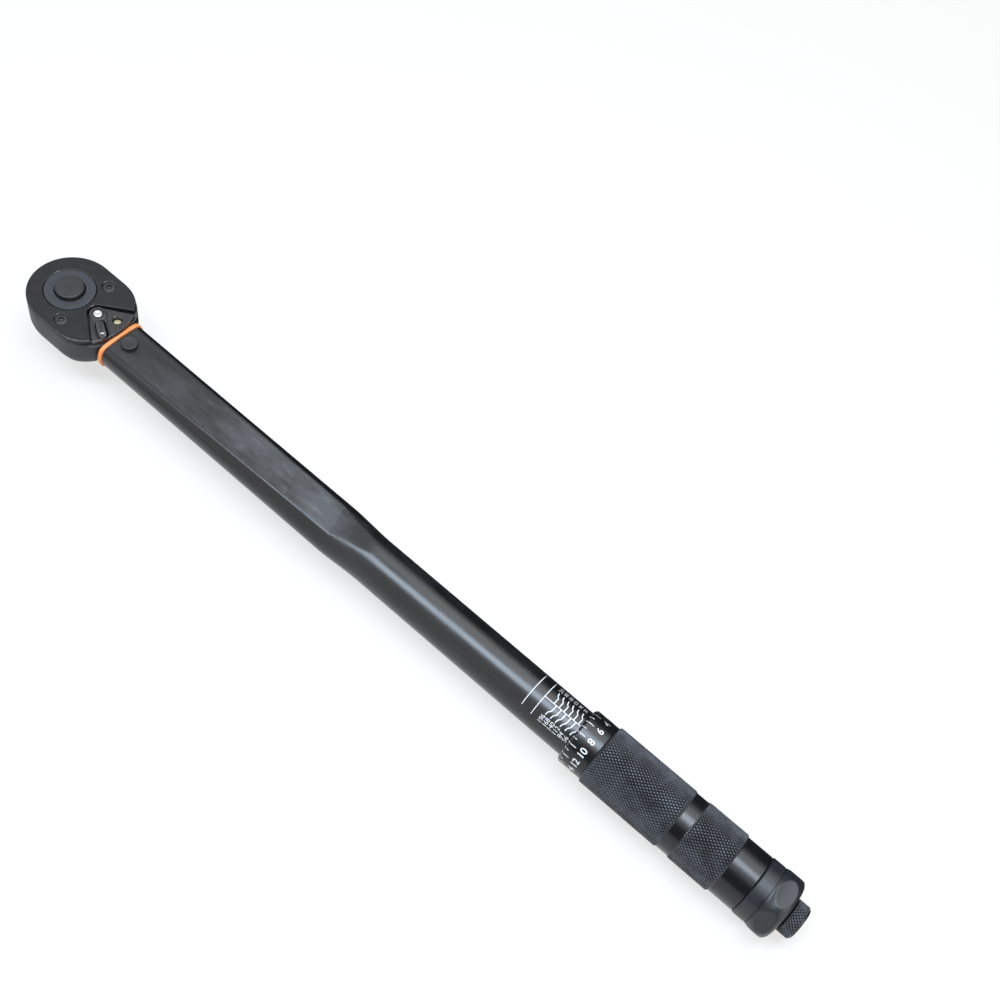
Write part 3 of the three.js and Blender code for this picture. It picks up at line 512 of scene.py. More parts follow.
brightSteel = makeFinish('brightSteel', metalNodes(
    (0.62, 0.63, 0.65), (0.82, 0.82, 0.83), 0.14, (1, 1, 1)), metallic=1.0)
springSteel = makeFinish('springSteel', metalNodes(
    (0.2, 0.21, 0.22), (0.38, 0.39, 0.4), 0.25, (0.2, 1, 1)), metallic=1.0)
turnedBrass = makeFinish('turnedBrass', metalNodes(
    (0.60, 0.49, 0.28), (0.80, 0.70, 0.46), 0.3, (1, 1, 0.3)), metallic=0.8)


def inkNodes(paint):
    fine = paint.noise(0.25, 3.0, 0.7)
    cloud = paint.noise(3.0, 2.0)
    _, y, _ = paint.parts()
    # Painted shade: from y 5 to 8.6 mm, on the side turned away from the key light, the ink is
    # painted dark grey.
    paintedShadeSide = y.between(5.0, 8.6)
    fresh = paint.mix(fine.between(0.25, 0.6), grey(0.66), grey(0.93))
    colour = paint.mix(paintedShadeSide, fresh, grey(0.09))
    return colour, 0.5 + fine * 0.15, cloud, 0.01, {}


whiteInk = makeFinish('whiteInk', inkNodes)
print('materials made')


# The section is the lower of a flat top at height h / cos a and a side ellipse that meets it.
# Beyond the pressed length the flat rises as a ramp, until the round tube is all that is left.
def tubeRadiusAt(place, angle):
    t, soft = tubeSizes, tubeSizes['crease']
    along = place - tubeLow.x / mm
    share = np.clip(along / t['pressed'], 0, 1)
    flat, height, width = (t['front'][key] + (t['rear'][key] - t['front'][key]) * share
                           for key in ('flat', 'height', 'width'))
    tall = height / np.sqrt(1 - (flat / width) ** 2)
    back = ease(along, t['pressed'], t['roundBy'])
    width, tall = width + (t['round'] - width) * back, tall + (t['round'] - tall) * back
    cosine = np.clip(np.abs(np.cos(angle)), 0.05, None)
    aside = np.clip(np.sin(angle) / cosine, -0.9, 0.9)
    climb = np.clip(along - t['pressed'] - t['lean'] * aside, 0, None)
    climb = climb / (t['rampEnd'] - t['pressed'])
    height = height + (t['round'] + 0.35 - height) * climb
    side = 1 / np.sqrt((np.sin(angle) / width) ** 2 + (np.cos(angle) / tall) ** 2)
    top = np.minimum(height / cosine, 40)
    crease = soft['front'] + (soft['rear'] - soft['front']) * ease(along, 0, soft['over'])
    crease = crease + soft['ramp'] * ease(along, t['pressed'] + 3, t['rampEnd'])
    return softLower(top, side, crease)


def makeTube():
    low, high = box('tube')
    t = tubeSizes
    ramp = low[0] + t['pressed']
    stations = np.concatenate([
        [low[0], low[0] + 0.3], np.linspace(low[0] + 2, ramp - 1.5, 34),
        np.linspace(ramp - 1, ramp + 26, 64), np.linspace(ramp + 30, high[0] - 0.4, 16), [high[0]]])
    angle = fullTurn(288)
    outer, inner = (tubeRadiusAt(line[:, None], angle) for line in (stations, stations[::-1]))
    outer[0] -= 0.3
    outer[-1] -= 0.4
    places = np.concatenate([stations, stations[::-1]])[:, None]
    radius = np.vstack([outer, inner - t['wall']])
    tube = makeObject('tube_shell', skin(roundTube(places, radius, angle), loop=True))

    # The haze lies between the creases, and fades out at the ramp.
    x, y, z = pointsOf(tube)
    turn = np.abs(np.arctan2(y, np.abs(z)))
    share = ease(x, ramp - 6, ramp + 18)
    front, rear = t['front']['haze'], t['rear']['haze']
    edge = np.arctan2(front + (rear - front) * np.clip((x - low[0]) / t['pressed'], 0, 1), 7.0)
    setMark(tube, 'haze', (1 - ease(turn, edge - 0.16, edge + 0.02)) * (1 - share) + 0.12 * share)
    return finishPiece(tube, 'tube', tubeBlack, ['tube'], 25)


# Rubber ring: a rounded band that follows the tube's front section.
def makeNeckRing():
    low, high = box('neck_ring')
    band = rounded([(low[0], -1.2), (low[0], 0.8, 0.75), (high[0], 0.8, 0.75), (high[0], -1.2)], 6)
    band = np.vstack([band, [[high[0] - 0.3, -1.55], [low[0] + 0.3, -1.55]]])
    angle = fullTurn(240)
    radius = tubeRadiusAt(tubeLow.x / mm, angle) + band[:, 1:]
    ring = makeObject('neck_band', skin(roundTube(band[:, :1], radius, angle), loop=True))
    return finishPiece(ring, 'tube', orangeRubber, ['neck_ring'])


def makePivotPin():
    low, high = box('pivot_pin')
    radius = (high - low)[0] / 2
    pin = turnedZ(rounded([
        (radius - 0.4, low[2]), (radius, low[2] + 0.4), (radius, high[2], 0.4),
        (radius - 1.0, high[2], 0.3), (radius - 1.2, high[2] - 0.05)], 6),
        middleOf('pivot_pin')[:2])
    return finishPiece(makeObject('pivot_head', pin), 'tube', headMatte, ['pivot_pin'])


makeTube()
makeNeckRing()
makePivotPin()
print('tube made')


headSizes = {
    'round': 20.6, 'centre': 1.3, 'sideEnd': 13.8, 'shoulder': (25.3, 20.6), 'neck': (31.5, 11.8),
    'coverShoulder': (25.0, 20.5), 'coverNeck': (29.3, 12.5),
    'lowRound': (4.2, 7.0), 'pocket': 14.9, 'journalHole': 11.3, 'floor': 3.1,
    'discHole': 12.15, 'countersink': 3.4, 'edge': 0.22, 'topEdge': 0.12,
    'windowHalfAngle': 36.2, 'windowHub': 4.75,
}
leverPin = middleOf('lever_pin')[:2]
pivotX = middleOf('pivot_pin')[0]
headTop = box('cover_plate')[1][2]
coverSeat = box('cover_plate')[0][2]


# Half circle at the nose, straight sides, and a curve with one control point down to the neck.
# Each corner of the neck is eased towards the mean of its neighbours.
def headOutline(shoulder, neck, corner=2.5):
    radius, centre, sideEnd = (headSizes[key] for key in ('round', 'centre', 'sideEnd'))
    nose = radius * circle(np.linspace(np.pi / 2, 3 * np.pi / 2, 97)) + [centre, 0]
    straight = level(np.linspace(centre + 1.5, sideEnd - 1.5, 8), -radius)
    t = np.linspace(0, 1, 41)[:, None]
    bend = (1 - t) ** 2 * [sideEnd, -radius] + 2 * t * (1 - t) * [shoulder[0], -shoulder[1]] \
        + t * t * [neck[0], -neck[1]]
    lower = np.vstack([straight, bend])
    rear = np.column_stack([np.full(23, neck[0]), np.linspace(-neck[1], neck[1], 25)[1:-1]])
    line = np.vstack([nose, lower, rear, (lower * [1, -1])[::-1]])
    for side in (-1, 1):
        near = np.exp(-((line - [neck[0], side * neck[1]]) ** 2).sum(1) / corner ** 2)[:, None]
        smooth = sum(np.roll(line, shift, axis=0) for shift in range(-4, 5)) / 9
        line = line + (smooth - line) * near
    return line


# Rows run round the journal hole, under the head, round its low edge, up its side, over its top
# face and down the gear's pocket. Near the neck the low face rises and the top face falls.
def makeHeadBody():
    low, high = box('head_body')
    outline = headOutline(headSizes['shoulder'], headSizes['neck'])
    ring = circle(np.arctan2(outline[:, 1], outline[:, 0]))
    hole, pocket, (soft, tall) = (headSizes[key] for key in ('journalHole', 'pocket', 'lowRound'))
    floor, edge = low[2] + headSizes['floor'], headSizes['topEdge']

    def under(plan):
        return low[2] + 2.3 * ease(plan[:, 0], 20, 32)

    def over(plan):
        return coverSeat - 1.6 * ease(plan[:, 0], 28.2, 32)

    def across(first, last, face, shares):
        plans = [first * (1 - t) + last * t for t in shares]
        return [level(plan, face(plan)) for plan in plans]

    rows = [level(ring * hole, floor), level(ring * hole, low[2] + 0.3),
            level(ring * (hole + 0.3), low[2])]
    rows += across(ring * hole, drawnIn(outline, soft), under, (0.4, 0.7))
    rows += [level(drawnIn(outline, soft * (1 - math.sin(a))),
                   under(outline) + tall * (1 - math.cos(a))) for a in np.linspace(0, np.pi / 2, 9)]
    start = under(outline) + tall
    rows += [level(outline, start + (over(outline) - 0.5 - start) * t) for t in (0.35, 0.7, 0.95)]
    rows += [level(drawnIn(outline, edge * (1 - math.cos(a))),
                   over(outline) - edge * (1 - math.sin(a))) for a in np.linspace(0, np.pi / 2, 5)]
    rows += across(drawnIn(outline, 0.8), ring * pocket, over, (0, 0.1, 0.2, 0.35, 0.5, 0.75, 1))
    rows.append(level(ring * pocket, floor))
    head = makeObject('head_forging', skin(np.stack(rows), loop=True))

    # Arm inside the tube, of a section between a round and a square: |cos a|^0.3 and |sin a|^0.3.
    share, turn = np.linspace(0, 1, 30)[:, None], fullTurn(48)
    x = 27 + (high[0] - 27) * share
    wide = 8.8 - 3.4 * ease(x, pivotX + 5, pivotX + 16)
    square = [np.sign(f(turn)) * np.abs(f(turn)) ** 0.3 for f in (np.cos, np.sin)]
    arm = np.broadcast_arrays(x, wide * square[0], (4.7 - 0.5 * share) * square[1])
    carve(head, skin(np.stack(arm, -1)), operation='UNION')

    linkX = box('toggle_link')[0][0] + 3.8
    springFloor, above = box('detent_spring')[0][2] - 0.3, coverSeat + 1
    carve(head,
          turnedZ([(4.3, -9), (4.3, 6.5)], (pivotX, 0)),
          turnedZ([(4.1, -9), (4.1, 9)], (linkX, 0)),
          turnedZ([(2.1, springFloor), (2.1, above)], middleOf('detent_plunger')[:2], 48),
          turnedZ([(3.8, -4.4), (3.8, above)], leverPin, 64))
    return finishPiece(head, 'head', headMatte, ['head_body'])


# Opening over the lever: two straight edges that touch a circle about the lever's pin.
def windowOutline(grow):
    half = math.radians(headSizes['windowHalfAngle'])
    arc = np.linspace(half + np.pi / 2, 2 * np.pi - half - np.pi / 2, 40)
    hub = (headSizes['windowHub'] + grow) * circle(arc)
    reach = 26 * np.array([[math.cos(half), -math.sin(half)], [math.cos(half), math.sin(half)]])
    return np.vstack([hub, hub[-1] + reach[0], hub[0] + reach[1]]) + leverPin


def makeCover():
    outline = headOutline(headSizes['coverShoulder'], headSizes['coverNeck'], 0.6)
    cover = makeObject('cover', slab(outline, coverSeat, headTop, 0.03, 0.3, 5))
    edge, hole, wide = (headSizes[key] for key in ('edge', 'discHole', 'countersink'))
    below, above = coverSeat - 1, headTop + 1
    rows = [(0, below), (0, headTop - edge), (edge, headTop), (edge, above)]
    carve(cover, turnedZ([(hole + grow, z) for grow, z in rows], steps=160),
          skin(np.stack([level(windowOutline(grow), z) for grow, z in rows])))
    for name in ('cover_screw_left', 'cover_screw_right'):
        carve(cover, turnedZ([
            (1.7, below), (1.7, headTop - 2.1), (wide - 0.25, headTop - 0.5),
            (wide - 0.25, headTop - 0.25), (wide, headTop), (wide, above)], middleOf(name)[:2], 72))
    markEdges(cover, headTop)
    return finishPiece(cover, 'head', coverMatte, ['cover_plate'])


# Screw: a countersunk head whose recess has six lobes, r = r0 (0.82 + 0.18 cos 6a).
def makeCoverScrew(name, turn):
    low, top, head = box(name)[0][2], box(name)[1][2], 2.85
    lobes = 1.6 * (0.82 + 0.18 * np.cos(6 * (fullTurn(96) - turn)))
    screw = turnedZ([
        (1.4, low), (1.4, top - 1.6), (head - 0.1, top - 0.4), (head, top - 0.25),
        (head - 0.05, top - 0.08), (head - 0.2, top), (lobes + 0.14, top), (lobes, top - 0.12),
        (lobes * 0.97, top - 1.05), (lobes * 0.4, top - 1.2)], middleOf(name)[:2])
    return finishPiece(makeObject(name + '_head', screw), 'head', leverMatte, [name])


makeHeadBody()
makeCover()
makeCoverScrew('cover_screw_left', 0.2)
makeCoverScrew('cover_screw_right', 0.5)
print('head made')


driveSizes = {
    'disc': 11.85, 'gear': 14.4, 'teeth': 40, 'depth': 0.8, 'journal': 11.0, 'square': 12.7,
    'corner': 1.3, 'tipRound': 0.9, 'button': 6.8, 'buttonTall': 5.1, 'buttonRoom': 8.3,
    'stem': 2.5, 'stemRoom': 3.6, 'ball': 2.3,
}


# Turned gear: the rows at its teeth have the radius lowered by a saw tooth of the angle.
def makeDriveGear():
    low, high = box('drive_gear')
    d, bottom = driveSizes, box('head_body')[0][2]
    steps = d['teeth'] * 6
    saw = d['depth'] * np.abs(np.arange(steps) / 6 % 1 * 2 - 1)
    outside, journal, disc = d['gear'], d['journal'], d['disc']
    toothLow, toothTop, shoulder = bottom + headSizes['floor'] + 0.3, coverSeat - 0.3, bottom - 0.8
    gear = makeObject('drive_disc', turnedZ([
        *rounded([(journal - 0.5, shoulder), (journal, shoulder, 0.3), (journal, toothLow)], 4),
        (outside - 0.3 - saw, toothLow), (outside - saw, toothLow + 0.4),
        (outside - saw, toothTop - 0.4), (outside - 0.3 - saw, toothTop),
        *rounded([(disc, toothTop), (disc, high[2], 0.22), (disc - 1, high[2])], 5)], steps=steps))
    half = d['square'] / 2
    square = rounded([(x * half, y * half, d['corner'])
                      for x, y in ((-1, -1), (1, -1), (1, 1), (-1, 1))], 5, loop=True)
    carve(gear, slab(square, low[2], shoulder + 1, d['tipRound'], 0), operation='UNION')

    # Stepped bore for the button with its stem, and a hole in the square's side for the ball.
    bore, stem = d['button'] + 0.3, d['stem'] + 0.3
    buttonLow = high[2] - d['buttonRoom']
    ballHeight = middleOf('drive_ball')[2]
    carve(gear, turnedZ([
        (stem, ballHeight - d['ball'] - d['stemRoom']), (stem, buttonLow), (bore, buttonLow),
        (bore, high[2] - 0.25), (bore + 0.25, high[2]), (bore + 0.25, high[2] + 1)]))
    wide = d['ball'] + 0.15
    points, faces = turnedX([
        (wide, 0), (wide, half - 0.2), (wide + 0.25, half + 0.05), (wide + 0.25, half + 1)], 64)
    carve(gear, (points + [0, 0, ballHeight], faces))
    return finishPiece(gear, 'drive', satinDisc, ['drive_gear'])


def makeButton():
    low, high = box('release_button')
    radius, stem = driveSizes['button'], driveSizes['stem']
    ballHeight = middleOf('drive_ball')[2]
    bottom = high[2] - driveSizes['buttonTall']
    button = turnedZ(rounded([
        (stem - 0.3, low[2]), (stem, low[2] + 0.3), (stem, ballHeight + 0.5),
        (1.4, ballHeight + 0.8), (1.4, ballHeight + 4.9), (stem, ballHeight + 5.3),
        (stem, bottom), (radius - 0.2, bottom),
        (radius, bottom + 0.2), (radius, high[2] - 0.12, 0.75), (radius * 0.5, high[2] - 0.02),
        (0.4, high[2])], 7), steps=128)
    return finishPiece(makeObject('button', button), 'button', headMatte,
                       ['release_button'], 40)


# Ball: radius sin t and height -cos t from pole to pole.
def makeBall():
    middle, radius = middleOf('drive_ball'), driveSizes['ball']
    t = np.linspace(0.06, np.pi - 0.06, 25)
    profile = np.column_stack([radius * np.sin(t), middle[2] - radius * np.cos(t)])
    ball = turnedZ(profile, middle[:2], 48)
    return finishPiece(makeObject('detent_ball', ball), 'ball', brightSteel, ['drive_ball'],
                       60)


makeDriveGear()
makeButton()
makeBall()
print('drive made')


leverSizes = {'rest': -2.7, 'hub': 4.0, 'fanHalfAngle': 34.5, 'fanArc': 28.0, 'fanReach': 14.1,
              'thickness': 1.9, 'hubRise': 0.5, 'ribAngle': -28.3, 'ribWidth': 5.7, 'ribStart': 4.5,
              'ribEnd': 15.0, 'ribRise': 2.8, 'hole': 2.15, 'holeAt': 9.45, 'holeAngle': 28.4}


# Fan: two straight edges that touch the hub's circle, and an arc about a point far behind it.
def makeLever():
    rest = math.radians(leverSizes['rest'])
    half = math.radians(leverSizes['fanHalfAngle'])
    bottom = coverSeat + 0.2
    top = bottom + leverSizes['thickness']
    hub, arc = leverSizes['hub'], leverSizes['fanArc']
    middle = leverPin[0] + leverSizes['fanReach'] - arc

    def edge(side):
        turn = side * half
        start = leverPin + hub * circle([turn + side * np.pi / 2])[0]
        way = circle([turn])[0]
        off = start - [middle, 0]
        b = off @ way
        return start, start + way * (-b + math.sqrt(b * b - off @ off + arc * arc))

    (lowStart, lowEnd), (highStart, highEnd) = edge(-1), edge(1)
    spread = math.atan2(highEnd[1], highEnd[0] - middle)
    rim = arc * circle(np.linspace(-spread, spread, 40)) + [middle, 0]
    outline = rounded([lowStart, (*lowEnd, 0.5), *rim[3:-3], (*highEnd, 0.5), highStart], 4,
                      loop=True)

    def turnedBy(plan, angle):
        c, s = math.cos(angle), math.sin(angle)
        return (plan - leverPin) @ np.array([[c, s], [-s, c]]) + leverPin

    lever = makeObject('lever', slab(turnedBy(outline, rest), bottom, top, 0.15, 0.28, 4))
    hubTop = top + leverSizes['hubRise']
    carve(lever, turnedZ(rounded([
        (hub - 0.9, box('pawl')[1][2] + 0.3), (hub - 0.9, bottom), (hub, bottom),
        (hub, hubTop, 0.45), (hub - 1.2, hubTop)], 5), leverPin), operation='UNION')
    angle = math.radians(leverSizes['ribAngle']) + rest
    end, wide = leverSizes['ribEnd'], leverSizes['ribWidth'] / 2
    web = np.array([(0.4, -hub * 0.92), (end - 2.2, -wide - 0.35), (end - 2.2, wide + 0.35),
                    (0.4, hub * 0.92)])
    web = rounded([(*p, 0.8) for p in web + leverPin], 4, loop=True)
    carve(lever, slab(turnedBy(web, angle), top - 0.5, hubTop - 0.06, 0, 0.3, 3), operation='UNION')

    # Rib: across its length a flattened half round, and its ends fall off as quarter rounds.
    t = np.linspace(0.08, np.pi - 0.08, 33)
    start = leverSizes['ribStart']
    straight = (end - start) / 2 - wide
    along = (start + end) / 2 - np.cos(t) * wide - np.clip(np.cos(t) * 4, -1, 1) * straight
    girth = np.sin(t) ** 0.85
    turn = fullTurn(40)
    across = wide * np.cos(turn) * np.abs(np.cos(turn)) ** -0.12
    rise = np.maximum(leverSizes['ribRise'] * np.sin(turn), -1.2)
    flat = np.stack(np.broadcast_arrays(along[:, None] + leverPin[0], girth[:, None] * across), -1)
    flat = turnedBy(flat.reshape(-1, 2), angle)
    rib = level(flat, (top + girth[:, None] * rise).ravel()).reshape(33, 40, 3)
    carve(lever, skin(rib), operation='UNION')
    spot = math.radians(leverSizes['holeAngle']) + rest
    hole, wide = leverPin + leverSizes['holeAt'] * circle([spot])[0], leverSizes['hole']
    carve(lever,
          turnedZ([(2.4, -10), (2.4, hubTop + 3)], leverPin, 64),
          turnedZ([(wide, bottom - 1), (wide, top - 0.25), (wide + 0.25, top),
                   (wide + 0.25, top + 1)], hole, 64))
    markEdges(lever, top)
    return finishPiece(lever, 'lever', leverMatte, ['reverse_lever'], 28)


# Pin with a riveted head that has a shallow dimple.
def makeLeverPin():
    low, high = box('lever_pin')
    radius, top = 2.1, high[2]
    profile = rounded([(radius - 0.2, low[2]), (radius, low[2] + 0.2), (radius, top - 0.05, 0.4),
                       (1.0, top, 0.25), (0.6, top - 0.32, 0.2), (0.2, top - 0.36)], 5)
    rivet = makeObject('lever_rivet', turnedZ(profile, leverPin, 64))
    return finishPiece(rivet, 'head', brightSteel, ['lever_pin'], 50)


makeLever()
makeLeverPin()
print('lever made')


gripSizes = {
    'bore': 11.6, 'thimble': 13.37, 'bevel': 1.1, 'thimbleLength': 12.4, 'knurl': 14.3,
    'frontKnurl': 41.4, 'groove': 13.8, 'grooveLength': 5.6, 'rearKnurl': 21.0, 'tail': 13.5,
    'diamonds': 62, 'diamondLength': 2.3, 'knurlDepth': 0.5, 'chamfer': 0.5,
}


# Marks where a knurl is and how near a place is to the tops of its diamonds.
def markKnurl(piece, inside, low, high):
    x, y, z = pointsOf(piece)
    radius = np.hypot(y, z)
    knurl = inside(x) & (radius > low - 0.2)
    setMark(piece, 'knurl', knurl)
    setMark(piece, 'peak', knurl * ease(radius, low, high))


# A plain stretch of a profile of (radius, place), for each column of a grid.
def plainRows(profile, columns):
    profile = np.asarray(profile, float)
    return np.broadcast_to(profile[:, None, ::-1], (len(profile), columns, 2))


# Turns blocks of (place, radius) round the tube's axis, and cuts knurled rows along their grooves.
def knurledTurning(name, blocks, knurled, firstRow, loop):
    place, radius = np.moveaxis(np.vstack(blocks), -1, 0)
    columns = place.shape[1]
    points, faces = skin(roundTube(place, radius, fullTurn(columns)), loop)
    return makeObject(name, (points, knurlCut(faces, len(knurled), columns, knurled, firstRow)))


def makeGripSleeve():
    low, high = box('grip_sleeve')
    g, front = gripSizes, low[0]
    bore, thimble, groove, tail = (g[key] for key in ('bore', 'thimble', 'groove', 'tail'))
    knurl1 = front + g['thimbleLength']
    groove1 = knurl1 + g['frontKnurl']
    knurl2 = groove1 + g['grooveLength']
    tail1 = knurl2 + g['rearKnurl']
    c, deep = g['chamfer'], g['knurl'] - g['knurlDepth']
    columns = 6 * g['diamonds']
    blocks, knurled, firstRow = [], [], []

    def smooth(profile):
        firstRow.extend([0] * len(profile))
        knurled.extend([False] * len(profile))
        blocks.append(plainRows(profile, columns))

    def diamonds(start, end):
        count = 6 * round((end - start) / g['diamondLength'])
        x = np.linspace(start, end, count + 1)[:, None]
        taper = np.minimum(1, np.minimum(x - start, end - x) / 0.6 + 0.35)
        radius = deep + g['knurlDepth'] * knurlHeight(count + 1, columns) * taper
        firstRow.extend([len(knurled)] * (count + 1))
        knurled.extend([True] * (count + 1))
        blocks.append(np.stack(np.broadcast_arrays(x, radius), -1))

    smooth(rounded([
        (bore, front + 0.2), (bore + 0.2, front), (thimble - g['bevel'], front, 0.2),
        (thimble, front + g['bevel'], 0.25), (thimble, front + 4), (thimble, knurl1 - 0.25),
        (thimble - 0.12, knurl1 - 0.1), (thimble, knurl1)], 4))
    diamonds(knurl1 + c, groove1 - c)
    smooth([(groove, place) for place in (groove1, groove1 + 0.3, knurl2 - 0.3, knurl2)])
    diamonds(knurl2 + c, tail1 - c)
    smooth([(tail, tail1), (tail, tail1 + 0.25),
            *rounded([(tail, tail1 + 1), (tail, high[0], 0.25), (tail - 0.8, high[0])], 4),
            (bore, high[0]), (bore, high[0] - 2)])
    sleeve = knurledTurning('grip', blocks, knurled, firstRow, True)

    def inside(x):
        return ((x > knurl1 + 0.3) & (x < groove1 - 0.3)) | ((x > knurl2 + 0.3) & (x < tail1 - 0.3))

    markKnurl(sleeve, inside, deep, g['knurl'])
    return finishPiece(sleeve, 'grip', gripBlack, ['grip_sleeve'], 16)


capSizes = {
    'ring': 13.85, 'ringLength': 6.0, 'groove': 0.5, 'grooveWidth': 0.6, 'flare': 15.3,
    'flareAt': 11.4, 'end': 10.6, 'facets': 6, 'facetRadius': 28.0, 'facetDepth': 1.45, 'bore': 2.7,
}


# The turned profile is cut by hollow facets: a facet lies at d - sqrt(R^2 - x^2) from the axis.
def makeEndCap():
    low, high = box('end_cap')
    c, front, rear = capSizes, low[0], high[0]
    ring, flare, curve = c['ring'], c['flare'], c['facetRadius']
    deep = ring - c['groove']
    ringEnd, flareX = front + c['ringLength'], front + c['flareAt']
    grooveEnd = ringEnd + c['grooveWidth']
    lead = rounded([
        (c['bore'], front), (13.3, front, 0.1), (ring, front + 0.5, 0.2), (ring, ringEnd, 0.12),
        (deep, ringEnd + 0.12), (deep, grooveEnd - 0.12), (ring, grooveEnd, 0.12),
        (ring + 0.02, ringEnd + 1.0)], 4)
    t, u = np.linspace(0, 1, 22)[1:], np.linspace(0, 1, 26)[1:]
    rise = np.column_stack([ring + 0.02 + (flare - ring - 0.02) * np.sin(t * np.pi / 2) ** 1.2,
                            ringEnd + 1.0 + (flareX - ringEnd - 1.0) * t])
    fall = np.column_stack([flare - (flare - c['end']) * u ** 2,
                            flareX + (rear - flareX) * np.sin(u * np.pi / 2)])
    profile = np.vstack([lead, rise, fall, [[7.0, rear], [c['bore'], rear]]])
    angle, step = fullTurn(288), 2 * np.pi / c['facets']
    radius, place = profile[:, :1], profile[:, 1:]
    off = (angle + step / 2) % step - step / 2
    facet = flare - c['facetDepth'] + curve - np.sqrt(curve ** 2 - (place - flareX) ** 2)
    facet = facet / np.cos(off)
    cut = (place > grooveEnd) & (radius > 8)
    radius = np.where(cut, softLower(radius, facet, 0.16), radius)
    cap = makeObject('cap', skin(roundTube(place, radius, angle), loop=True))
    return finishPiece(cap, 'grip', capSatin, ['end_cap'], 30)


knobSizes = {'radius': 7.85, 'diamonds': 32, 'rows': 3, 'depth': 0.38}


def makeLockKnob():
    low, high = box('lock_knob')
    wide, depth = knobSizes['radius'], knobSizes['depth']
    deep = wide - depth
    start = rounded([(2.2, low[0]), (wide - 0.9, low[0], 0.2), (deep, low[0] + 0.55)], 3)
    end = rounded([(deep - 0.05, high[0] - 0.75), (wide - 0.85, high[0], 0.35), (4.0, high[0])], 4)
    count, columns = 6 * knobSizes['rows'] + 1, 6 * knobSizes['diamonds']
    x = np.linspace(low[0] + 0.7, high[0] - 0.9, count)[:, None]
    band = np.stack(np.broadcast_arrays(x, deep + depth * knurlHeight(count, columns)), -1)
    knurled = [False] * len(start) + [True] * count + [False] * len(end)
    knob = knurledTurning('knob', [plainRows(start, columns), band, plainRows(end, columns)],
                          knurled, [len(start)] * len(knurled), False)
    markKnurl(knob, lambda x: x > low[0] + 0.6, deep, wide)
    return finishPiece(knob, 'knob', knobBlack, ['lock_knob'], 16)


makeGripSleeve()
makeEndCap()
makeLockKnob()
print('grip made')


# Angles are in degrees from the top. A branch is a line of (angle, way back).
scaleSizes = {
    'pitch': 2.62, 'first': 298.57, 'line': 0.36, 'branch': 0.46,
    'middle': {'angle': 6.3, 'start': 292.2, 'end': 311.3},
    'underlines': [((56, -52), 0), ((52, -52), 5.5)],
    'numberSize': 2.7, 'numberWide': 1.02, 'numberTall': 1.18,
    'near': {'numbers': [196, 168, 140, 112, 84, 56], 'angle': 48.5, 'back': 1.6, 'size': 1.0,
             'branch': [(6.3, 0), (14, 0.02), (22, 0.2), (28, 1.1), (35.4, 1.35)]},
    'far': {'numbers': [210, 182, 154, 126, 98, 70], 'angle': -36.0, 'back': 2.65, 'size': 0.8,
            'branch': [(6.3, 1.4), (-9, 1.38), (-14, 2.3), (-22.5, 2.65)]},
    'thimble': {'divisions': 28, 'top': 8, 'angle': 18.2, 'number': 4.6, 'numberAt': 7.7,
                'long': 4.2, 'short': 2.4, 'longWide': 0.36, 'shortWide': 0.32},
}


# Puts flat points (arc, place, height) on a drum: the angle is arc / radius.
def onDrum(points, faces, drum, surface):
    angle = points[:, 0] / drum
    radius = surface(points[:, 1]) + points[:, 2] + 0.03
    return roundTube(points[:, 1], radius, angle), faces


# A strip of one width along a line of (arc length, place).
def strip(line, width, drum, surface):
    line = np.asarray(line, float)
    knots = np.concatenate([[0], np.cumsum(np.linalg.norm(np.diff(line, axis=0), axis=1))])
    steps = max(2, int(knots[-1] / 0.6) + 1)
    fine = np.unique(np.concatenate([knots, np.linspace(0, knots[-1], steps)]))
    path = np.column_stack([np.interp(fine, knots, line[:, k]) for k in (0, 1)])
    way = np.gradient(path, axis=0)
    way /= np.linalg.norm(way, axis=1, keepdims=True)
    side = np.column_stack([-way[:, 1], way[:, 0]]) * width / 2
    rings = [level(path + sign * side, height)
             for sign, height in ((-1, 0.0), (1, 0.0), (1, 0.05), (-1, 0.05))]
    return onDrum(*skin(np.stack(rings, 1)), drum, surface)


# A number as a mesh, wrapped round a drum: it reads towards +Y, and its top points to the head.
def number(text, size, angle, place, drum, surface, wide=1.0, tall=1.0, bold=0.012):
    curve = bpy.data.curves.new('number', 'FONT')
    curve.body = str(text)
    curve.size = size
    curve.align_x = curve.align_y = 'CENTER'
    curve.offset = bold * size
    curve.extrude = 0.025
    curve.resolution_u = 3
    holder = addObject('number', curve)
    mesh = madeMesh(holder)
    points = np.zeros(len(mesh.vertices) * 3, np.float32)
    mesh.vertices.foreach_get('co', points)
    faces = [list(face.vertices) for face in mesh.polygons]
    u, v, w = points.reshape(-1, 3).T.astype(float)
    bpy.data.objects.remove(holder)
    bpy.data.curves.remove(curve)
    bpy.data.meshes.remove(mesh)
    flat = np.column_stack([math.radians(angle) * drum - u * wide, place - v * tall, w + 0.035])
    return onDrum(flat, faces, drum, surface)


def makeTubeScale():
    s, drum = scaleSizes, tubeSizes['round']

    def surface(place):
        return np.full_like(place, drum)

    def line(points, width):
        return strip([(math.radians(a) * drum, x) for a, x in points], width, drum, surface)

    middle = s['middle']
    shells = [line([(middle['angle'], middle[key]) for key in ('start', 'end')], s['line'])]
    for (first, last), back in s['underlines']:
        shells.append(line([(a, middle['start'] - back) for a in (first, 0, last)], s['line']))
    for side in (s['near'], s['far']):
        for i, value in enumerate(side['numbers']):
            x = s['first'] + i * s['pitch']
            shells += [line([(a, x - back) for a, back in side['branch']], s['branch']),
                       number(value, s['numberSize'] * side['size'], side['angle'],
                              x - side['back'], drum, surface, s['numberWide'],
                              s['numberTall'], -0.004)]
    return finishPiece(makeObject('tube_scale', together(*shells)), 'tube', whiteInk, crease=30)


